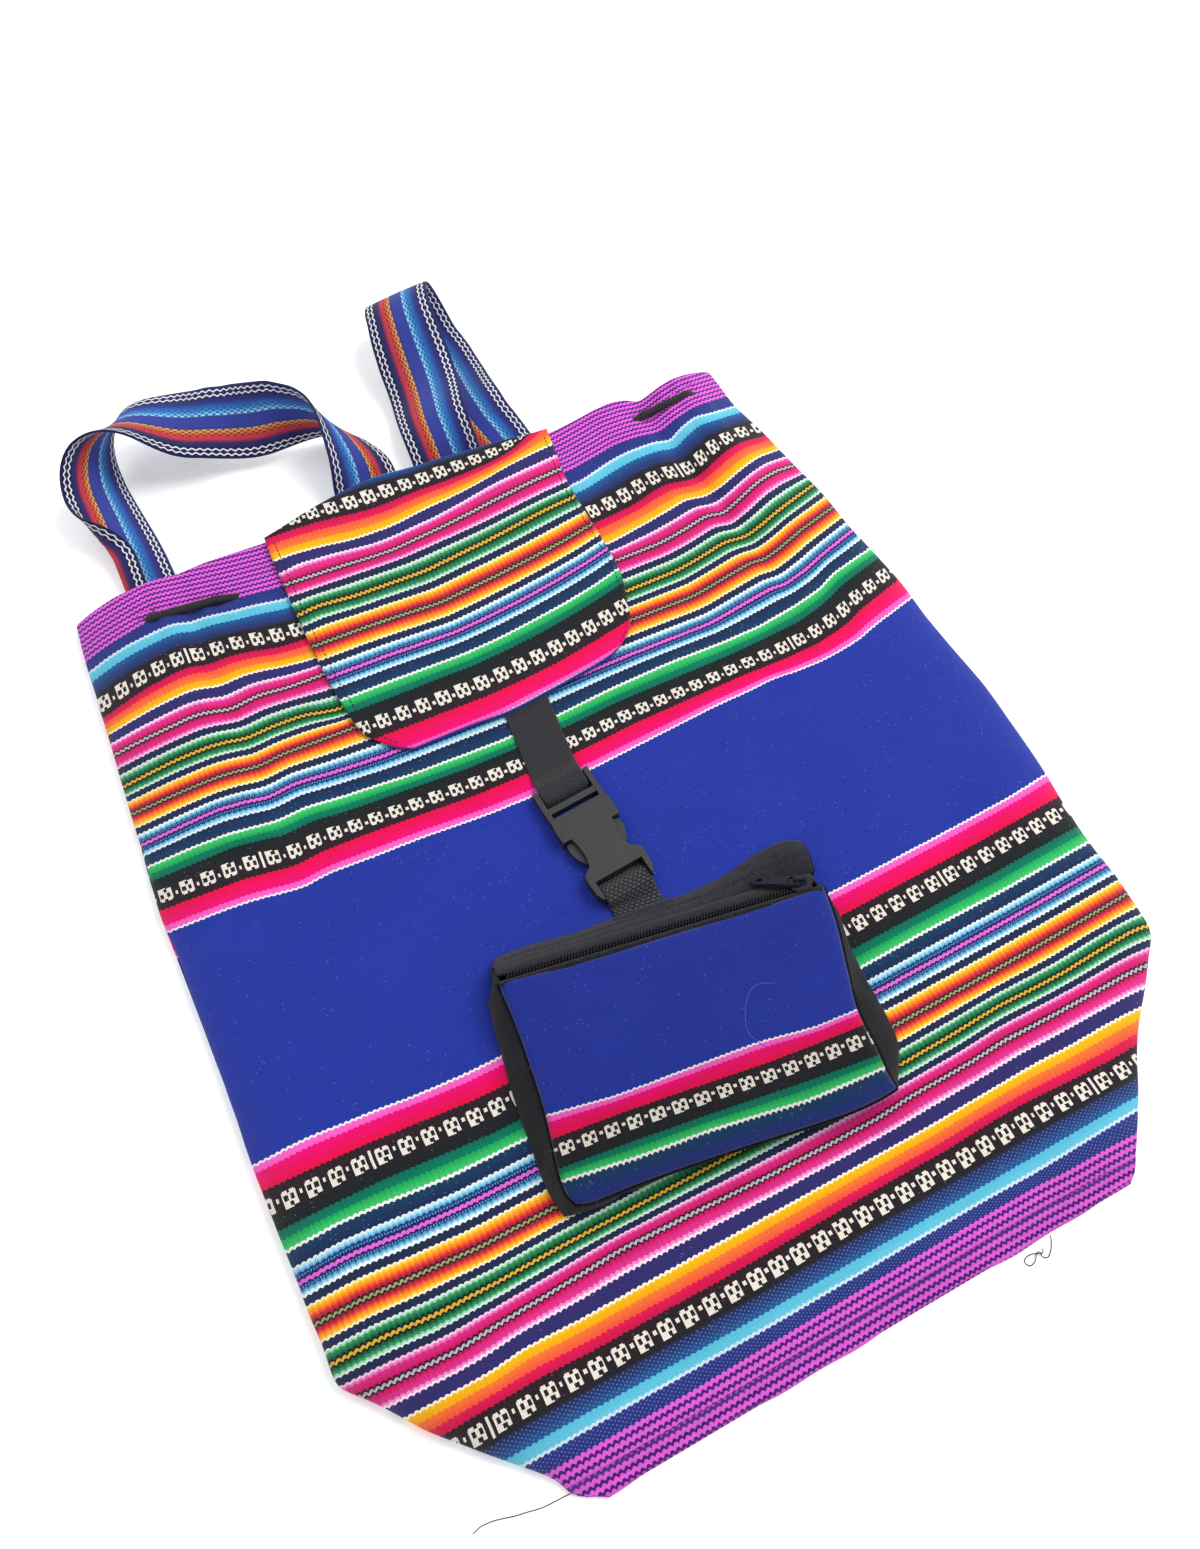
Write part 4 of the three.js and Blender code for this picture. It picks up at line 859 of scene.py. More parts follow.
# the hem turns in at the mouth
hem_y = [0.9, 0.2, -6.0, -14.0, -23.0]
hem_z = [-0.9, -2.2, -2.6, -2.6, -2.6]
for hy, hz in zip(hem_y, hem_z):
    X = np.vstack([X, X[NV - 1] * 0.998])
    Y = np.vstack([Y, Y[NV - 1] + hy * (0.1 + 0.9 * smooth(0, 9, np.minimum(X[NV - 1] - XL[-1], XR[-1] - X[NV - 1])))])
    Z = np.vstack([Z, np.maximum(Z[NV - 1] + hz, 1.6)])
rows = X.shape[0]
verts = np.stack([X, Y, Z], -1).reshape(-1, 3)
seen = on_plane(verts[:, 0], verts[:, 1], verts[:, 2])
order = body_place(*seen)
tall = np.repeat(np.arange(rows), NU)
beyond = np.array([0.0, 1.0, 7, 15, 24])
last = order.reshape(rows, NU)[NV - 1]
for k in range(NV, rows):
    order.reshape(rows, NU)[k] = last + 1.0 + beyond[k - NV]
front = mesh_object(
    "front_cloth", verts, grid_faces(NU, rows), {"cloth": np.stack([seen[0], order, np.zeros_like(order)], -1)}
)
thicken(front, 1.0)
M_CLOTH = cloth_material("striped_cloth")
finish_piece(front, "bag", M_CLOTH, ("front_panel",))

# ------------------------------------------------------------- back cloth ---
STRAP_LEFT_END, STRAP_RIGHT_END = (-147.0, 70.0), (133.5, 70.0)


def back_height(x, y):
    """Underside of the back cloth: flat on the floor, lifted over the straps."""
    z = 0.15 + 0 * x

    def over(x0, y0, x1, y1):
        t = np.clip((y - y0) / (y1 - y0), -0.02, 1.02)
        c = x0 + (x1 - x0) * np.clip(t, 0, 1)
        return smooth(27.5, 21.8, np.abs(x - c)) * smooth(y1 - 8, y1 - 1.5, y)

    lift = over(-164.3, 472, STRAP_LEFT_END[0], 70.0)
    lift = np.maximum(lift, over(66.6, 472, STRAP_RIGHT_END[0], 70.0))
    for c in (-24.0, 20.5):
        lift = np.maximum(lift, smooth(28, 22, np.abs(x - c)) * smooth(458, 466, y))
    return z + 2.25 * lift


NB, MB = 150, 150
ub, vb = np.linspace(0, 1, NB), np.linspace(0, 1, MB)
YB = vb[:, None] * (492.0 + np.where(ub < 0.5, 2.8, 11.0) * np.abs(2 * ub - 1) ** 8)[None, :]
XB = left_x(YB) + (right_x(YB) - left_x(YB)) * (ub - 0.6 * np.sin(2 * np.pi * ub) / (2 * np.pi))[None, :]
ZB = back_height(XB, YB)
edge_gap = np.minimum(np.minimum(XB - left_x(YB), right_x(YB) - XB), YB)
ZB = ZB + 0.75 * smooth(3.0, 0.0, edge_gap) + 0.12 * (1 + lumps_fine(XB, YB))
verts = np.stack([XB, YB, ZB], -1).reshape(-1, 3)
order = body_place(np.full(len(verts), -120.0), verts[:, 1])
back = mesh_object(
    "back_cloth", verts, grid_faces(NB, MB), {"cloth": np.stack([verts[:, 0] + 40, order, np.zeros(len(verts))], -1)}
)
thicken(back, 0.9, 1.0)
finish_piece(back, "bag", M_CLOTH, ("back_panel",))

# ----------------------------------------------------------------- straps ---
# Both long edges of each band at even steps: light blue edge, then red edge.
STRAP_LEFT = [
    (-44.5, 485.0, 1.2, -3.5, 485.0, 1.2), (-44.5, 493.0, 1.2, -3.5, 493.0, 1.2),
    (-44.5, 501.0, 1.5, -3.5, 501.0, 1.2), (-44.2, 507.1, 6.9, -3.6, 509.1, 1.2),
    (-42.9, 511.8, 13.5, -3.9, 517.1, 1.6), (-41.1, 515.8, 20.4, -4.2, 524.7, 4.5),
    (-39.4, 520.6, 26.8, -6.2, 532.4, 5.8), (-38.2, 526.7, 32.2, -9.5, 539.8, 6.0),
    (-37.2, 533.5, 36.8, -13.7, 546.9, 6.0), (-36.3, 540.6, 40.7, -19.1, 553.0, 5.7),
    (-36.2, 548.3, 43.6, -25.9, 557.6, 5.1), (-37.6, 556.1, 45.2, -33.6, 560.2, 4.7),
    (-41.4, 563.3, 45.7, -41.8, 561.1, 4.8), (-46.9, 569.2, 45.5, -49.9, 560.7, 5.4),
    (-53.3, 575.0, 45.2, -57.9, 559.4, 6.6), (-60.2, 579.1, 44.0, -65.9, 558.4, 7.7),
    (-65.8, 583.9, 41.4, -74.0, 559.0, 8.5), (-70.8, 589.0, 38.3, -81.8, 561.1, 9.2),
    (-77.0, 593.1, 35.8, -89.5, 562.3, 11.7), (-84.2, 596.5, 35.0, -96.9, 562.8, 15.2),
    (-91.2, 600.0, 32.8, -104.3, 563.8, 18.3), (-96.9, 605.4, 29.2, -111.9, 566.0, 20.4),
    (-103.2, 610.1, 26.4, -118.8, 568.3, 24.0), (-110.8, 612.7, 25.7, -124.8, 570.7, 29.1),
    (-119.1, 612.8, 27.1, -130.2, 573.1, 34.7), (-127.2, 613.4, 26.2, -135.7, 575.7, 40.1),
    (-134.6, 612.9, 22.9, -142.3, 578.6, 44.0), (-140.6, 610.2, 18.2, -149.8, 581.2, 45.5),
    (-145.1, 605.6, 13.2, -157.8, 582.8, 44.7), (-148.0, 599.5, 8.7, -165.4, 583.0, 41.9),
    (-149.3, 592.2, 5.3, -171.9, 581.0, 37.6), (-149.6, 584.3, 3.1, -176.9, 577.0, 32.8),
    (-149.4, 576.3, 1.7, -180.2, 571.1, 28.4), (-148.6, 568.3, 1.2, -181.7, 563.9, 25.2),
    (-147.7, 560.2, 1.2, -181.9, 556.1, 23.4), (-146.8, 552.2, 1.2, -182.1, 548.3, 21.6),
    (-145.9, 544.2, 1.2, -182.4, 540.6, 19.6), (-145.0, 536.1, 1.5, -182.8, 532.9, 17.3),
    (-144.3, 528.1, 1.7, -183.1, 525.4, 14.7), (-143.8, 520.0, 1.7, -183.6, 518.0, 11.6),
    (-143.6, 511.9, 1.4, -184.0, 510.8, 8.1), (-143.4, 503.8, 1.2, -184.3, 503.7, 4.4),
    (-143.5, 495.7, 1.2, -184.5, 496.3, 1.3), (-143.6, 487.6, 1.2, -184.6, 488.4, 1.2),
    (-143.7, 479.5, 1.2, -184.7, 480.5, 1.2), (-143.8, 471.5, 1.2, -184.8, 472.5, 1.2),
]
STRAP_RIGHT = [
    (45.7, 482.6, 1.2, 4.9, 482.5, 1.2), (45.9, 490.6, 1.2, 5.1, 490.7, 1.2),
    (46.0, 498.4, 1.2, 5.2, 498.7, 1.4), (46.2, 504.2, 6.6, 5.4, 505.9, 5.1),
    (46.1, 508.6, 13.3, 5.8, 513.1, 9.0), (45.8, 513.0, 19.9, 6.3, 520.7, 12.0),
    (45.9, 518.9, 25.4, 7.0, 528.9, 13.3), (46.8, 526.3, 28.2, 8.0, 537.3, 12.8),
    (48.9, 534.0, 28.1, 9.3, 545.4, 11.5), (50.9, 541.8, 26.6, 10.9, 553.5, 10.3),
    (52.8, 549.6, 25.0, 12.2, 561.4, 10.7), (54.2, 557.7, 24.7, 13.1, 569.4, 12.8),
    (55.3, 565.5, 26.5, 13.6, 576.9, 16.0), (55.8, 573.1, 29.7, 14.4, 583.8, 19.8),
    (56.0, 580.4, 33.5, 15.4, 590.7, 23.6), (56.2, 587.6, 37.2, 16.7, 597.8, 26.9),
    (56.7, 595.3, 40.2, 18.4, 605.0, 29.3), (58.3, 603.0, 41.4, 20.1, 612.8, 30.3),
    (60.6, 610.6, 40.2, 22.5, 620.2, 28.6), (63.4, 617.0, 36.4, 25.4, 625.9, 23.8),
    (66.4, 621.2, 30.3, 28.4, 628.3, 16.7), (69.2, 622.1, 22.8, 30.7, 626.4, 9.3),
    (71.4, 619.4, 15.6, 32.1, 620.6, 3.9), (72.9, 614.0, 9.9, 32.7, 613.0, 1.5),
    (73.8, 606.9, 6.1, 33.1, 605.0, 1.2), (75.5, 598.7, 3.7, 34.6, 596.4, 1.2),
    (76.6, 590.5, 2.3, 35.7, 588.1, 1.2), (76.8, 582.8, 1.7, 35.9, 580.3, 1.2),
    (76.8, 575.0, 2.2, 35.9, 572.6, 1.2), (76.4, 567.7, 3.8, 35.6, 565.0, 1.4),
    (75.6, 560.7, 6.0, 34.9, 557.7, 1.9), (74.9, 553.7, 8.4, 34.5, 550.2, 2.6),
    (74.5, 546.4, 10.3, 34.3, 542.9, 3.1), (74.7, 538.9, 10.6, 34.5, 535.3, 3.4),
    (75.3, 531.4, 9.0, 35.0, 527.6, 3.3), (77.2, 523.7, 6.3, 36.6, 519.3, 2.8),
    (79.1, 515.9, 3.3, 38.5, 510.9, 2.2), (80.4, 508.0, 1.4, 39.8, 502.8, 1.4),
    (82.4, 499.6, 1.2, 41.8, 494.3, 1.2), (84.3, 491.1, 1.2, 43.6, 485.8, 1.2),
    (86.2, 482.7, 1.2, 45.5, 477.3, 1.2), (87.0, 474.7, 1.2, 46.3, 469.4, 1.2),
]


def through(points, per):
    """Smooth curve through the points, with per steps between each two."""
    p = np.array(points, float)
    p = np.vstack([2 * p[0] - p[1], p, 2 * p[-1] - p[-2]])
    out = []
    t = np.linspace(0, 1, per, endpoint=False)[:, None]
    for k in range(1, len(p) - 2):
        a, b, c, d = p[k - 1 : k + 3]
        out.append(0.5 * (2 * b + (c - a) * t + (2 * a - 5 * b + 4 * c - d) * t**2 + (3 * b - a - 3 * c + d) * t**3))
    return np.vstack(out + [p[-2:-1]])


def unit(v):
    return v / np.maximum(np.linalg.norm(v, axis=-1, keepdims=True), 1e-9)


def ribbon(name, edge0, edge1, thick, width, attr, bow=0.0, across=25, roll=None, start=0.0):
    """Closed band between two edge lines. The attribute holds (across, along) from edge1."""
    n = len(edge0)
    mid = (edge0 + edge1) / 2
    along = np.concatenate([[0], np.cumsum(np.linalg.norm(np.diff(mid, axis=0), axis=1))]) + start
    tang = unit(np.gradient(mid, axis=0))
    side = unit(edge1 - edge0)
    norm = unit(np.cross(side, tang))
    f = np.linspace(0, 1, across)
    f = f - 0.25 * np.sin(2 * np.pi * f) / (2 * np.pi)
    rings, attrs = [], []
    for k in range(n):
        w = f * width
        half = np.linalg.norm(edge1[k] - edge0[k]) / 2
        pos = mid[k] + np.outer((f - 0.5) * 2 * half, side[k]) + np.outer(bow * np.sin(np.pi * f), norm[k])
        nk = np.repeat(norm[k][None], across, 0)
        if roll is not None and roll[k][0] > 0.01:
            angle, part, radius = roll[k]
            q = f * 2 * half - (2 * half - part)
            fold = mid[k] + side[k] * (half - part)
            bend = np.clip(q / radius, 0, angle)
            rest = np.maximum(q - angle * radius, 0)
            c = radius * np.sin(bend) + rest * np.cos(angle)
            h = radius * (1 - np.cos(bend)) + rest * np.sin(angle)
            moved = fold + np.outer(c, side[k]) + np.outer(h, norm[k])
            turned = np.outer(np.cos(bend), norm[k]) - np.outer(np.sin(bend), side[k])
            pos = np.where((q > 0)[:, None], moved, pos)
            nk = np.where((q > 0)[:, None], turned, nk)
        taper = np.sqrt(np.clip(1 - (np.clip(np.abs(f - 0.5) * 2, 0.955, 1) - 0.955) ** 2 / 0.045**2, 0.02, 1))[:, None]
        top = pos + nk * thick / 2 * taper
        low = pos - nk * thick / 2 * taper
        rings.append(np.vstack([top, low[::-1]]))
        a = np.column_stack([width - w, np.full(across, along[k]), np.zeros(across)])
        attrs.append(np.vstack([a, a[::-1] + [0, 0, 1]]))
    m = 2 * across
    verts, attrs = np.vstack(rings), np.vstack(attrs)
    faces = grid_faces(m, n, wrap_u=True).tolist()
    faces.append(list(range(m))[::-1])
    faces.append(list(range((n - 1) * m, n * m)))
    return mesh_object(name, verts, faces, {attr: attrs}), along[-1] - start


def strap_edges(rows, end, x_sign):
    r = np.array(rows)
    e0, e1 = r[:, :3], r[:, 3:]
    head = [468.0, 476.5]
    h0 = np.array([[e0[0, 0], y, 1.25] for y in head])
    h1 = np.array([[e1[0, 0], y, 1.25] for y in head])
    c = (e0[-1] + e1[-1]) / 2
    steps = np.linspace(0, 1, 42)[1:]
    mids = np.array([[c[0] + (end[0] - c[0]) * t, c[1] + (end[1] - c[1]) * t, 1.25] for t in steps])
    half = np.array([20.5 * x_sign, 0, 0])
    seen0 = through(np.vstack([h0, e0, mids[:2] - half]), 4)
    seen1 = through(np.vstack([h1, e1, mids[:2] + half]), 4)
    a0 = np.vstack([seen0, mids[2:] - half])
    a1 = np.vstack([seen1, mids[2:] + half])
    return a0, a1


M_STRAP = strap_material()
l0, l1 = strap_edges(STRAP_LEFT, STRAP_LEFT_END, -1)
roll = []
for a, b in zip(l0, l1):
    y = (a[1] + b[1]) / 2
    here = (a[0] + b[0]) / 2 < -120
    amount = float(smooth(566, 520, y) * smooth(470, 492, y)) if here else 0.0
    roll.append((math.radians(168) * amount, 4.0 + 11.0 * amount, 1.5))
strap_l, long_l = ribbon("strap_left_band", l0, l1, 1.6, 41.0, "band", bow=0.5, roll=roll)
finish_piece(strap_l, "bag", M_STRAP, ("strap_left",))
r0, r1 = strap_edges(STRAP_RIGHT, STRAP_RIGHT_END, 1)
strap_r, long_r = ribbon("strap_right_band", r0, r1, 1.6, 41.0, "band", bow=-0.5)
finish_piece(strap_r, "bag", M_STRAP, ("strap_right",))

# ------------------------------------------------------- flap and lining ----


def even(points, n):
    """n points at equal steps along a smooth line through the points."""
    p = through(points, 12)
    d = np.concatenate([[0], np.cumsum(np.linalg.norm(np.diff(p, axis=0), axis=1))])
    t = np.linspace(0, d[-1], n)
    return np.column_stack([np.interp(t, d, p[:, k]) for k in range(p.shape[1])])


def patch(left, right, low, high, nu, nv):
    """Surface between four border lines; left and right run from low to high."""
    L, R, B, T = even(left, nv), even(right, nv), even(low, nu), even(high, nu)
    u, v = np.linspace(0, 1, nu)[None, :, None], np.linspace(0, 1, nv)[:, None, None]
    out = (1 - v) * B[None] + v * T[None] + (1 - u) * L[:, None] + u * R[:, None]
    return out - ((1 - u) * (1 - v) * B[0] + u * (1 - v) * B[-1] + (1 - u) * v * T[0] + u * v * T[-1])


def lower_to(seen, z):
    """True place of points given as seen on the crown's level, at height z."""
    k = ((CAM[2] - z) / (CAM[2] - 17.0))[..., None]
    return CAM[:2] + (seen - CAM[:2]) * k


FL_LEFT = [(-67.5, 333.2), (-75, 337.6), (-82.5, 345.7), (-86.9, 352), (-89.4, 363), (-90.6, 374.5), (-92, 393), (-92.5, 430), (-91.5, 475.7), (-90.6, 493.2)]
FL_RIGHT = [(47.5, 337.6), (56, 341.4), (63.7, 348), (68, 355.7), (71, 365.7), (74.4, 375.7), (76.5, 385.7), (77.5, 404.5), (78, 449.5), (81.2, 472), (84.7, 493.9)]
FL_LOW = [(-67.5, 333.2), (-37.5, 332.4), (-15, 331), (10, 333), (37.5, 336), (47.5, 337.6)]
FL_HIGH = [(-90.6, 492.9), (-80, 495.4), (-70, 498.0), (-60, 500.4), (-50, 502.2), (-40, 503.9), (-30, 505.2), (-20, 505.5), (-10, 504.7), (0, 503.1), (10, 502.1), (20, 501.5), (30, 500.2), (40, 499.1), (50, 498.2), (60, 496.9), (68, 495.5), (75, 494.5), (84.7, 493.6)]
FU, FV = 110, 120
seen = patch(FL_LEFT, FL_RIGHT, FL_LOW, FL_HIGH, FU, FV)
uu, vv = np.meshgrid(np.linspace(0, 1, FU), np.linspace(0, 1, FV))
edge_d = np.minimum(np.minimum(uu, 1 - uu) * 170, vv * 165)
crest = 18.8 + 2.6 * np.sin(np.pi * uu) ** 0.8
flat_z = 21.2 - 0.9 * smooth(0, 0.5, vv) + 0.35 * Lumps(21, (30, 34))(seen[..., 0], seen[..., 1]) + 0.3 * np.sin(np.pi * uu)
flat_z = flat_z - 1.25 * (1 - rim(edge_d, 9, 2.2)) * smooth(1.0, 0.86, vv)
fz = flat_z + (crest - flat_z) * smooth(0.9, 1.0, vv)
# one shallow dent runs down from the crest where the cloth was folded
fz = fz - 0.8 * bell(seen[..., 0], -34 + 0.02 * (seen[..., 1] - 470), 9) * smooth(430, 492, seen[..., 1])
fz = fz + 0.7 * bell(seen[..., 0], 46, 10) * smooth(440, 480, seen[..., 1])
true = lower_to(seen, fz)
FX, FY, FZ = true[..., 0], true[..., 1], fz
order = flap_place(seen[..., 0], seen[..., 1])
tt = seen[..., 0] * 0.96 + 4.1
for dy, dz, dd in ((1.0, -0.7, 1.2), (1.3, -2.0, 2.5), (0.5, -3.4, 4.0), (-1.5, -4.2, 6.0)):
    FX, FY, FZ = np.vstack([FX, FX[FV - 1] * 0.999]), np.vstack([FY, FY[FV - 1] + dy]), np.vstack([FZ, FZ[FV - 1] + dz])
    order, tt = np.vstack([order, order[FV - 1] + dd]), np.vstack([tt, tt[FV - 1]])
nrow = FX.shape[0]
flap = mesh_object(
    "flap_cloth", np.stack([FX, FY, FZ], -1).reshape(-1, 3), grid_faces(FU, nrow),
    {"cloth": np.stack([tt, order, 0 * tt], -1).reshape(-1, 3)},
)
thicken(flap, 1.1)
finish_piece(flap, "bag", M_CLOTH, ("flap",))

# the lining lies under the flap, rolls over its crest and comes down behind
LX, LY, LZ = true[..., 0].copy(), true[..., 1].copy(), fz - 1.35
inset = 1.0 - 0.012
mx = (LX[:, :1] + LX[:, -1:]) / 2
LX = mx + (LX - mx) * inset
LY = LY - 0.7 * smooth(0.06, 0.0, vv)
base_y, base_z = LY[-1] - 1.6, fz[-1] - 1.6
level = np.ones(FU)
down = [(base_y, base_z - drop) for drop in (0.0, 0.9, 1.8)]
down += [(base_y, level * z) for z in (14.5, 9.5, 6.0)]
down += [(level * y, level * z) for y, z in ((502.6, 4.4), (497.0, 4.0), (485.0, 3.9), (471.0, 3.9))]
for y, z in down:
    LX, LY, LZ = np.vstack([LX, LX[FV - 1]]), np.vstack([LY, y]), np.vstack([LZ, z])
nrow = LX.shape[0]
gap = np.cumsum(np.vstack([np.zeros((1, FU)), np.hypot(np.diff(LY, axis=0), np.diff(LZ, axis=0))]), axis=0)
lining = mesh_object(
    "flap_lining_cloth", np.stack([LX, LY, LZ], -1).reshape(-1, 3), grid_faces(FU, nrow),
    {"cloth": np.stack([LX, gap * 0.15 - 20, 0 * LX], -1).reshape(-1, 3)},
)
thicken(lining, 0.7)
M_BLUE = cloth_material("blue_cloth")
finish_piece(lining, "bag", M_BLUE, ("flap_lining",))

# --------------------------------------------------------------- drawcord ---


def tube(name, path, radius, sides, attr="round", squeeze=None):
    """Closed tube along a path in millimetres."""
    p = np.array(path, float)
    n = len(p)
    tang = unit(np.gradient(p, axis=0))
    up = np.array([0, 0, 1.0])
    along = np.concatenate([[0], np.cumsum(np.linalg.norm(np.diff(p, axis=0), axis=1))])
    a = np.linspace(0, 2 * np.pi, sides, endpoint=False)
    rad = np.broadcast_to(np.asarray(radius, float), (n,))
    side = unit(np.cross(tang, up + 1e-6))
    norm = unit(np.cross(side, tang))
    rings, attrs = [], []
    for k in range(n):
        w = rad[k] * (1.0 if squeeze is None else squeeze[0])
        h = rad[k] * (1.0 if squeeze is None else squeeze[1])
        rings.append(p[k] + np.outer(np.cos(a) * w, side[k]) + np.outer(np.sin(a) * h, norm[k]))
        attrs.append(np.column_stack([a / (2 * np.pi), np.full(sides, along[k]), np.zeros(sides)]))
    verts, attrs = np.vstack(rings), np.vstack(attrs)
    faces = grid_faces(sides, n, wrap_u=True, flip=True).tolist()
    faces.append(list(range(sides)))
    faces.append(list(range((n - 1) * sides, n * sides))[::-1])
    return mesh_object(name, verts, faces, {attr: attrs}), along[-1]


def rest_on_body(pts, lift):
    p = np.array(pts, float)
    return np.column_stack([p, body_height(p[:, 0], p[:, 1]) + lift])


def laid_cord(x0, y0, x1, y1, lift):
    """Straight as seen from the front, lying on the cloth without its small waves."""
    t = np.linspace(0.1, 0.9, 9)
    seen = np.column_stack([x0 + (x1 - x0) * t, y0 + (y1 - y0) * t])
    wide = np.linspace(-9, 9, 13)
    z = np.array([np.mean(body_height(x + wide, np.full(13, y))) for x, y in seen])
    z = np.convolve(np.pad(z, 2, mode="edge"), np.ones(5) / 5, mode="valid") + lift
    return np.column_stack([lower_to(seen, z), z])


left_seen = laid_cord(-122.0, 465.0, -167.0, 471.0, 2.5)
right_seen = laid_cord(175.5, 481.0, 135.0, 477.2, 2.5)
route = [(0, 468, 11.5), (-40, 465, 11.5), (-80, 463, 11.8), (-104, 462.5, 11.8)]
route += left_seen.tolist() + [(-172.5, 468.5, 13.0), (-178, 467.5, 7.6), (-174, 461, 6.9)]
route += [(-150, 459.5, 6.8), (-75, 459.5, 6.8), (0, 460, 6.8), (75, 461, 6.8), (150, 462, 6.8), (171, 464.5, 6.9), (179, 470.5, 7.4)]
route += [(179.0, 476.0, 13.0)] + right_seen.tolist() + [(122, 473.6, 12.0), (110, 473.4, 11.5), (80, 473, 11.5), (36, 470.5, 11.5)]
path = even(route, 420)
cord, cord_long = tube("drawcord_line", path, 2.2, 14, squeeze=(1.0, 0.92))
finish_piece(cord, "bag", cord_material(), ("drawcord",))

# ----------------------------------------------------------------- pocket ---
PK_TURN = math.radians(-9.6)
PK_AT = np.array([-5.75, 183.1, 17.0])
SLOPE = math.radians(41.186)


def pocket_world(p):
    p = np.asarray(p, float)
    c, s = math.cos(PK_TURN), math.sin(PK_TURN)
    return np.stack([p[..., 0] * c - p[..., 1] * s, p[..., 0] * s + p[..., 1] * c, p[..., 2]], -1) + PK_AT


def on_slope(x, y, h):
    """Point of the zipper's sloping strip: x along it, y down to the bag, h above it."""
    x, y, h = np.broadcast_arrays(np.asarray(x, float), np.asarray(y, float), np.asarray(h, float))
    c, s = math.cos(SLOPE), math.sin(SLOPE)
    return pocket_world(np.stack([x, y * c + h * s, 21 - y * s + h * c], -1))


PK_TOP = [(-80.2, 203.0), (-60, 198.3), (-42.5, 194.4), (0, 187.4), (45, 180.0), (78.2, 175.4)]
PK_RIGHT = [(57.6, 79.6), (57.2, 88), (58.8, 100), (60.4, 117.5), (66.3, 135), (74.2, 158), (78.2, 175.4)]
PK_LOW = [(-92.2, 99.2), (-75, 97.6), (-55, 95.2), (-17.5, 89.4), (20, 82.7), (38.7, 80.2), (57.6, 79.6)]
PK_LEFT = [(-92.2, 99.2), (-92.6, 108), (-90.6, 121), (-86.2, 140), (-82.8, 165), (-81.0, 183.7), (-80.2, 203.0)]
PU, PV = 116, 90
seen = patch(PK_LEFT, PK_RIGHT, PK_LOW, PK_TOP, PU, PV)
uu, vv = np.meshgrid(np.linspace(0, 1, PU), np.linspace(0, 1, PV))
near = np.minimum(uu, 1 - uu) * 150
edge_d = np.minimum(near, vv * 100)
top_d = (1 - vv) * 100
pz = 31.2 + 7.9 * vv + 1.5 * np.sin(np.pi * uu) ** 0.8 * np.sin(np.pi * np.clip(vv, 0, 1)) ** 0.8
pz = pz + 0.35 * Lumps(31, (34, 26))(seen[..., 0], seen[..., 1]) + 0.2 * Lumps(32, (12, 14))(seen[..., 0], seen[..., 1])
pz = pz - 2.3 * (1 - rim(edge_d, 6.5, 2.2)) - 0.9 * (1 - rim(top_d, 4.0, 2.2))
pull_in = np.where(uu < 0.5, 1.8, 0.5) * np.clip(1 - near / 11, 0, 1) ** 2 * np.clip(1 - vv * 100 / 11, 0, 1) ** 2
true = lower_to(seen, pz)
true[..., 0] += pull_in * np.where(uu < 0.5, 1, -1)
true[..., 1] += pull_in
pocket_xyz = np.concatenate([true, pz[..., None]], -1)
order = pocket_place(seen[..., 0], seen[..., 1])
pocket = mesh_object(
    "pocket_cloth", pocket_xyz.reshape(-1, 3), grid_faces(PU, PV),
    {"cloth": np.stack([seen[..., 0] * 0.985 + seen[..., 1] * -0.16 + 24.0, order, 0 * order], -1).reshape(-1, 3)},
)
thicken(pocket, 1.2)
finish_piece(pocket, "bag", cloth_material("pocket_cloth", 0.77, "#1C2E7A"), ("pocket_front",))

M_BLACK = black_cloth_material("black_cloth", "#0e0e16")
M_BAND = black_cloth_material("zip_band", "#2B2A33")

# band of cloth between the zipper and the bag
BU, BV = 120, 22
band_front = on_slope(np.linspace(-77.4, 78.8, BU), 14.6, 0.5)
band_base = even(
    [(-79.2, 211.2, 18.4), (-75.6, 213.8, 18.1), (-60, 212.8, 17.9), (-40, 209.0, 17.8), (-20, 206.8, 17.8), (7, 203.6, 17.8),
     (20, 201.8, 17.9), (40, 202.0, 18.2), (55, 203.9, 19.2), (70.5, 204.0, 20.2), (79.6, 200.0, 20.5)], BU)
rows_, att = [], []
puff = Lumps(51, (26, 20))
for j in range(BV):
    f = j / (BV - 1)
    line = band_front + (band_base - band_front) * f
    right = smooth(30, 70, np.linspace(-76, 76, BU))
    line[:, 2] += np.sin(np.pi * f) ** 0.9 * (0.7 + 2.6 * right + 0.3 * puff(line[:, 0], line[:, 1]))
    line[:, 2] -= 0.4 * bell(f, 0.45, 0.045)
    line[:, 2] = np.maximum(line[:, 2], body_height(line[:, 0], line[:, 1]) + 0.3)
    line[:, 2] += 1.7 * smooth(0.55, 0.95, f) * smooth(17, 12.5, np.abs(line[:, 0] + 4.5))
    rows_.append(line)
    att.append(np.column_stack([np.linspace(-76, 76, BU), np.full(BU, f * 20), np.zeros(BU)]))
band_xyz = np.array(rows_)
BAND_SEAM = band_xyz[round(0.45 * (BV - 1))] + np.array([0, 0, 0.2])
band = mesh_object("zip_band_cloth", band_xyz.reshape(-1, 3), grid_faces(BU, BV), {"weave": np.vstack(att)})
thicken(band, 0.9)
finish_piece(band, "bag", M_BAND, ("pocket_zip_band",))

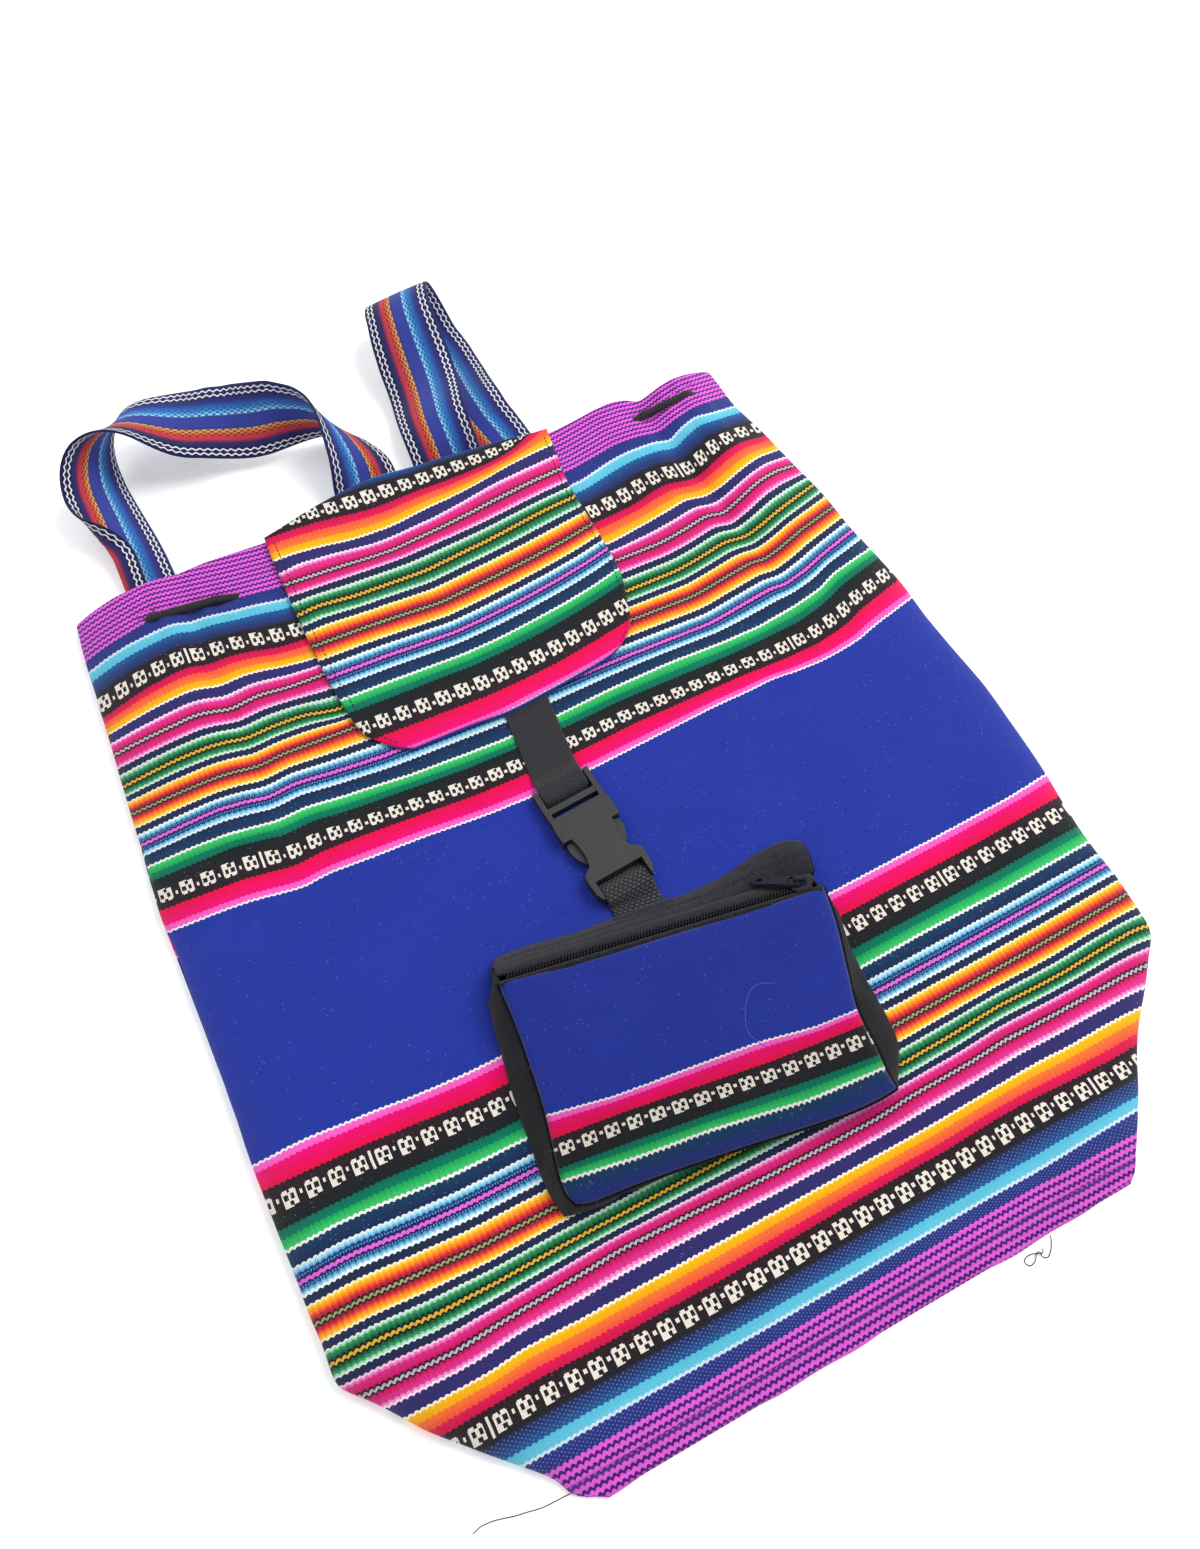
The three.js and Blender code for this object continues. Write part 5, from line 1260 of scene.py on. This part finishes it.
# gusset: a strip round the pocket, from the sloping zip ends down to the bag
ends = np.array([13.0, 9.0, 5.0, 0.5])
counts = (26, 76, 92, 76, 26)
PK_RIM = pocket_xyz + np.array([0, 0, -0.9])
end_l = np.vstack([band_xyz[::-3, 0] + [0.3, 0, -0.5], on_slope(-75.8, ends, -0.4)])
end_r = np.vstack([on_slope(75.8, ends[::-1], -0.4), band_xyz[::3, -1] + [-0.3, 0, -0.5]])
tops = [end_l, PK_RIM[::-1, 0], PK_RIM[0], PK_RIM[:, -1], end_r]
foot_l = end_l * [1, 1, 0] + [0, 0, 17.4]
foot_l[:, 0] -= np.linspace(0.0, 1.0, len(foot_l)) ** 3 * 5.4
foot_r = end_r * [1, 1, 0] + [0, 0, 17.4]
foot_r[:, 0] += np.linspace(1.6, 0.0, len(foot_r))
corner_l, corner_r = tuple(foot_l[-1]), tuple(foot_r[0])
bases = [
    foot_l,
    [corner_l, (-87.2, 196.5, 17.4), (-88.8, 188, 17.3), (-91.2, 174, 17.2), (-94.4, 155, 17.2), (-97.0, 130, 17.2), (-98.2, 112, 17.2), (-96.6, 99.5, 17.2)],
    [(-96.6, 99.5, 17.2), (-88, 98.2, 17.2), (-55, 96.0, 17.2), (-17, 91.0, 17.2), (20, 85.0, 17.2), (40, 83.2, 17.2), (57.2, 81.6, 17.2)],
    [(57.2, 81.6, 17.2), (63.2, 89.6, 17.2), (68.6, 100, 17.2), (70.2, 116, 17.2), (71.0, 131, 17.2), (72.6, 146, 17.2), (74.4, 160, 17.2), corner_r],
    foot_r,
]
top_line = np.vstack([even(t, n)[(k > 0) :] for k, (t, n) in enumerate(zip(tops, counts))])
base_line = np.vstack([even(t, n)[(k > 0) :] for k, (t, n) in enumerate(zip(bases, counts))])
GN = len(top_line)
GW = 16
flatdir = unit(np.gradient(base_line[:, :2], axis=0))
outward = np.column_stack([-flatdir[:, 1], flatdir[:, 0]]) * -1.0
centre = np.array([-10.0, 150.0])
outward *= np.sign(np.sum(outward * (base_line[:, :2] - centre), axis=1))[:, None]
outward = np.column_stack([outward, np.zeros(len(outward))])
tt = np.linspace(0, 1, GW)
gus, gat = [], []
run = np.concatenate([[0], np.cumsum(np.linalg.norm(np.diff(base_line, axis=0), axis=1))])
g_l = Lumps(41, (18, 30))
for k in range(GN):
    fold = 0.9 + 1.2 * g_l(run[k], 0.0) + 0.8 * g_l(run[k] * 2.3, 9.0)
    fold = fold * smooth(10, 34, k) * smooth(GN - 10, GN - 34, k) - 0.5 * (1 - smooth(4, 24, k))
    row = top_line[k] + np.outer(tt, base_line[k] - top_line[k]) + np.outer(np.sin(np.pi * tt) ** 0.8, outward[k]) * fold
    row[:, 2] = np.maximum(row[:, 2], body_height(row[:, 0], row[:, 1]) + 0.05)
    gus.append(row)
    gat.append(np.column_stack([np.full(GW, run[k]), tt * 22, 0 * tt]))
gusset = mesh_object("pocket_gusset_cloth", np.vstack(gus), grid_faces(GW, GN), {"weave": np.vstack(gat)})
thicken(gusset, 1.0, 1.0)
finish_piece(gusset, "bag", M_BLACK, ("pocket_gusset",))


# zipper tapes, each a thin woven strip with a bead where the coil is sewn on
def tape(name, y0, y1, bead, node):
    n = 90
    xs = np.linspace(-76.6, 76.8, n)
    tuck = -0.9 if y0 < 0 else 0.0
    prof = [(y0, 0.02 + tuck), (y0, 0.42 + tuck), (y0 + 1.1, 0.5) if y0 < 0 else (y0 + 0.25, 0.6), ((y0 + y1) / 2, 0.58), (y1 - 0.25, 0.6), (y1, 0.42), (y1, 0.02)]
    if y0 > 0:
        prof.insert(3, (bead, 0.72))
    rings = [on_slope(xs, y, h) for y, h in prof]
    verts = np.stack(rings, 1).reshape(-1, 3)
    at = np.stack([np.column_stack([xs, np.full(n, y), np.zeros(n)]) for y, h in prof], 1).reshape(-1, 3)
    m = len(prof)
    faces = grid_faces(m, n, wrap_u=True, flip=True).tolist() + [list(range(m)), list(range((n - 1) * m, n * m))[::-1]]
    o = mesh_object(name, verts, faces, {"weave": at})
    return finish_piece(o, "bag", M_TAPE, (node,))


M_TAPE = black_cloth_material("zipper_tape", "#232228")
tape("zip_tape_low", -1.2, 1.7, 1.2, "zipper_tape_lower")
tape("zip_tape_high", 6.4, 14.6, 7.0, "zipper_tape_upper")


# coil: one bent loop of monofilament for each tooth
def coil(name, y_in, y_out, shift, node):
    verts, faces = [], []
    count, sides = 97, 6
    for k in range(count):
        x = -72.4 + 144.8 * (k + shift) / count
        loop = [(x, y_out, 0.45), (x, (y_in + y_out) / 2, 0.5), (x + 0.1, y_in, 0.8), (x + 0.15, y_in, 1.25), (x + 0.3, (y_in + y_out) / 2, 1.42), (x + 0.5, y_out, 1.35)]
        pts = np.array(loop)
        tang = unit(np.gradient(pts, axis=0))
        side = np.cross(tang, np.array([1.0, 0, 0]))
        side = unit(side)
        base = len(verts)
        for q in range(len(pts)):
            for a in np.linspace(0, 2 * np.pi, sides, endpoint=False):
                c = pts[q] + 0.36 * (math.cos(a) * np.array([1.0, 0, 0]) + math.sin(a) * side[q])
                verts.append(on_slope(c[0], c[1], c[2]))
        faces += grid_faces(sides, len(pts), wrap_u=True, base=base).tolist()
        faces += [[base + i for i in range(sides)][::-1], [base + (len(pts) - 1) * sides + i for i in range(sides)]]
    o = mesh_object(name, np.array(verts), faces)
    return finish_piece(o, "bag", M_COIL, (node,))


M_COIL = plastic_material("coil_plastic", "#0a0a0b", "#202024", 0.45, 900.0, 0.05)
coil("zip_coil_low", 3.6, 2.25, 0.25, "zipper_coil_lower")
coil("zip_coil_high", 4.5, 5.85, 0.75, "zipper_coil_upper")

# ---------------------------------------------------------------- webbing ---
BK_TURN = math.radians(4.2)
BK_AT = np.array([-9.3, 262.0, 17.3])


def buckle_world(p):
    p = np.asarray(p, float)
    c, s = math.cos(BK_TURN), math.sin(BK_TURN)
    return np.stack([p[..., 0] * c - p[..., 1] * s, p[..., 0] * s + p[..., 1] * c, p[..., 2]], -1) + BK_AT


M_WEB = webbing_material("black_webbing")
M_WEB2 = webbing_material("black_webbing_coarse", True)
up = through([(10.2, 0.3), (10.9, 3.0), (12.2, 4.3), (14.5, 4.65), (18.5, 4.65), (20.5, 4.1), (25, 1.4), (28, 0.25), (34, 0.0), (50, 0.0), (66, 0.0), (82, 0.0), (100, 0.0), (116, 0.0)], 6)
lean = 0.163 * np.maximum(0, up[:, 0] - 18)
e0 = buckle_world(np.column_stack([lean - 12.4, up[:, 0], up[:, 1] + 0.65]))
e1 = buckle_world(np.column_stack([lean + 12.4, up[:, 0], up[:, 1] + 0.65]))
web_up, web_long = ribbon("webbing_upper_strip", e0, e1, 1.3, 24.8, "web", across=21)
web_up.data.materials.append(M_WEB)
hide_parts("webbing_upper")
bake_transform(web_up)
low = [(-63.5, 0.0), (-58.5, 0.0), (-54.3, 0.05), (-51.6, 0.3), (-49.6, 2.7), (-48.4, 4.2), (-46.6, 4.65), (-43.5, 4.65), (-42.2, 4.3), (-40.8, 3.4), (-39.2, 2.2), (-37.9, 1.2)]
skew = [-3.1, -3.1, -3.1, -2.0, -0.6, 0, 0, 0, 0, 0, 0, 0]
f0 = buckle_world([(-12.4, y - k, z + 0.65) for (y, z), k in zip(low, skew)])
f1 = buckle_world([(12.4, y + k, z + 0.65) for (y, z), k in zip(low, skew)])
web_low, low_long = ribbon("webbing_lower_strip", through(f0, 5), through(f1, 5), 1.3, 24.8, "web", across=21)
finish_piece(web_low, "bag", M_WEB2, ("webbing_lower",))

# ------------------------------------------- buckle, slider and pull: CAD ---
M_BUCKLE = plastic_material("buckle_plastic", "#1d1d1f", "#303033", 0.52)
M_SLIDER = plastic_material("slider_metal", "#0c0c0e", "#1c1c20", 0.34, 1800.0, 0.06, 0.6)
for node, mat, width in (("buckle_male", M_BUCKLE, 0.0005), ("buckle_female", M_BUCKLE, 0.0006), ("zipper_slider", M_SLIDER, 0.0003), ("zipper_pull", M_SLIDER, 0.00022)):
    o = bpy.data.objects[node]
    o.data.materials.clear()
    o.data.materials.append(mat)
    b = o.modifiers.new("edge", "BEVEL")
    b.width, b.segments, b.limit_method, b.angle_limit = width, 3, "ANGLE", math.radians(32)
    b.use_clamp_overlap = True

# -------------------------------------------------- stitches and threads ----
def stitches(name, path, pitch, gap, radius, material):
    """Row of short thread lengths along a line on the cloth."""
    p = np.array(path, float)
    d = np.concatenate([[0], np.cumsum(np.linalg.norm(np.diff(p, axis=0), axis=1))])
    verts, faces = [], []
    sides = 6
    ring = np.linspace(0, 2 * np.pi, sides, endpoint=False)
    for s0 in np.arange(pitch, d[-1] - pitch, pitch):
        q = np.linspace(s0, s0 + pitch - gap, 5)
        pts = np.column_stack([np.interp(q, d, p[:, k]) for k in range(3)])
        pts[:, 2] += np.array([-0.3, 0.05, 0.12, 0.05, -0.3]) * radius * 2
        tang = unit(np.gradient(pts, axis=0))
        side = unit(np.cross(tang, np.array([0, 0, 1.0])))
        norm = np.cross(side, tang)
        base = len(verts)
        for k in range(5):
            r = radius * (0.55, 0.95, 1.0, 0.95, 0.55)[k]
            verts += list(pts[k] + r * (np.outer(np.cos(ring), side[k]) + np.outer(np.sin(ring), norm[k])))
        faces += grid_faces(sides, 5, wrap_u=True, base=base, flip=True).tolist()
        faces += [[base + i for i in range(sides)], [base + 4 * sides + i for i in range(sides)][::-1]]
    o = mesh_object(name, np.array(verts), faces)
    return finish_piece(o, "bag", material)


M_THREAD = thread_material("dark_thread", "#120c12", "#2c2230")
M_PLUM = thread_material("plum_thread", "#2a0f44", "#4c2268")
M_LINT = thread_material("pale_fibre", "#434ea6", "#5762b4")
FLAP_TOP = np.stack([FX[:FV], FY[:FV], FZ[:FV]], -1)
stitches("flap_stitch_left", FLAP_TOP[6:-3, 3] + [0, 0, 0.1], 3.0, 0.7, 0.22, M_THREAD)
stitches("flap_stitch_right", FLAP_TOP[6:-3, FU - 3] + [0, 0, 0.1], 3.0, 0.7, 0.22, M_THREAD)
seam_x = np.linspace(-122, 124, 160)
stitches("bottom_stitch", np.column_stack([seam_x, np.full(160, 9.5), body_height(seam_x, np.full(160, 9.5)) + 0.12]), 3.1, 0.9, 0.26, M_PLUM)
stitches("band_stitch", BAND_SEAM[3:-3], 2.8, 0.9, 0.22, M_THREAD)


def loose_thread(name, pts, thick, material):
    path = even(pts, 90)
    o, long = tube(name, path, thick / 2, 8)
    finish_piece(o, "bag", material)


floor_end = [(-131.0, 7.5, 1.0), (-135.6, 7.0, 0.4), (-141.4, 7.3, 0.3), (-148.9, 7.7, 0.3), (-152.7, 8.1, 0.3), (-157.9, 9.3, 0.3), (-162.3, 10.2, 0.3),
             (-166.0, 11.3, 0.3), (-170.3, 12.5, 0.3), (-173.7, 13.0, 0.3), (-176.4, 13.1, 0.3), (-179.7, 12.3, 0.3)]
loose_thread("thread_bottom_left", floor_end, 0.4, M_THREAD)
curl = [(86.6, -1.0, 0.6), (85.6, -3.4, 0.4), (83.2, -6.2, 0.3), (80.6, -7.8, 0.3), (78.6, -6.6, 0.3), (78.6, -4.6, 0.4), (77.0, -4.4, 0.5), (74.7, -6.6, 0.4),
        (71.8, -7.2, 0.3), (70.4, -5.2, 0.3), (72.2, -3.6, 0.4), (75.6, -3.8, 0.9), (78.9, -5.4, 0.9), (80.6, -4.0, 0.5)]
loose_thread("thread_bottom_right", curl, 0.45, M_THREAD)


def on_pocket(pts, lift):
    """Points seen on the pocket's front, laid on its cloth."""
    p = np.array(pts, float)
    flat = pocket_xyz.reshape(-1, 3)
    z = [flat[np.argmin((flat[:, 0] - x) ** 2 + (flat[:, 1] - y) ** 2), 2] + lift for x, y in p]
    return np.column_stack([p, z])


lint = [(26.8, 141.8), (23.1, 144.0), (18.3, 144.3), (13.9, 141.6), (9.9, 136.6), (7.2, 131.1), (6.8, 127.0), (8.6, 122.9), (10.4, 119.6)]
loose_thread("lint_pocket", on_pocket(lint, 0.12), 0.3, M_LINT)

# ------------------------------------------------------ stage and lights ----
floor = mesh_object(
    "floor", [(-6000, -6000, 0), (6000, -6000, 0), (6000, 6000, 0), (-6000, 6000, 0)], [(0, 1, 2, 3)], smooth_shade=False
)
floor.data.materials.append(floor_material())
floor.location.z = -0.0004


def area_light(name, at, to, size, power, color=(1.0, 1.0, 1.0)):
    data = bpy.data.lights.new(name, "AREA")
    data.shape, data.size, data.energy, data.color = "DISK", size, power, color
    o = bpy.data.objects.new(name, data)
    scene.collection.objects.link(o)
    o.location = at
    o.rotation_euler = (Vector(to) - Vector(at)).to_track_quat("-Z", "Y").to_euler()
    return o


area_light("key", (1.15, 0.1, 1.75), (0.0, 0.02, 0.0), 1.25, 30.0, (1.0, 0.985, 0.96))
area_light("fill", (-0.6, 1.5, 1.6), (0.0, 0.1, 0.0), 1.6, 9.0, (0.95, 0.975, 1.0))
world = bpy.data.worlds.new("studio")
world.use_nodes = True
scene.world = world
back_node = world.node_tree.nodes["Background"]
back_node.inputs[0].default_value = (0.97, 0.985, 1.0, 1.0)
back_node.inputs[1].default_value = 0.72
scene.view_settings.view_transform = "Standard"
scene.view_settings.look = "None"
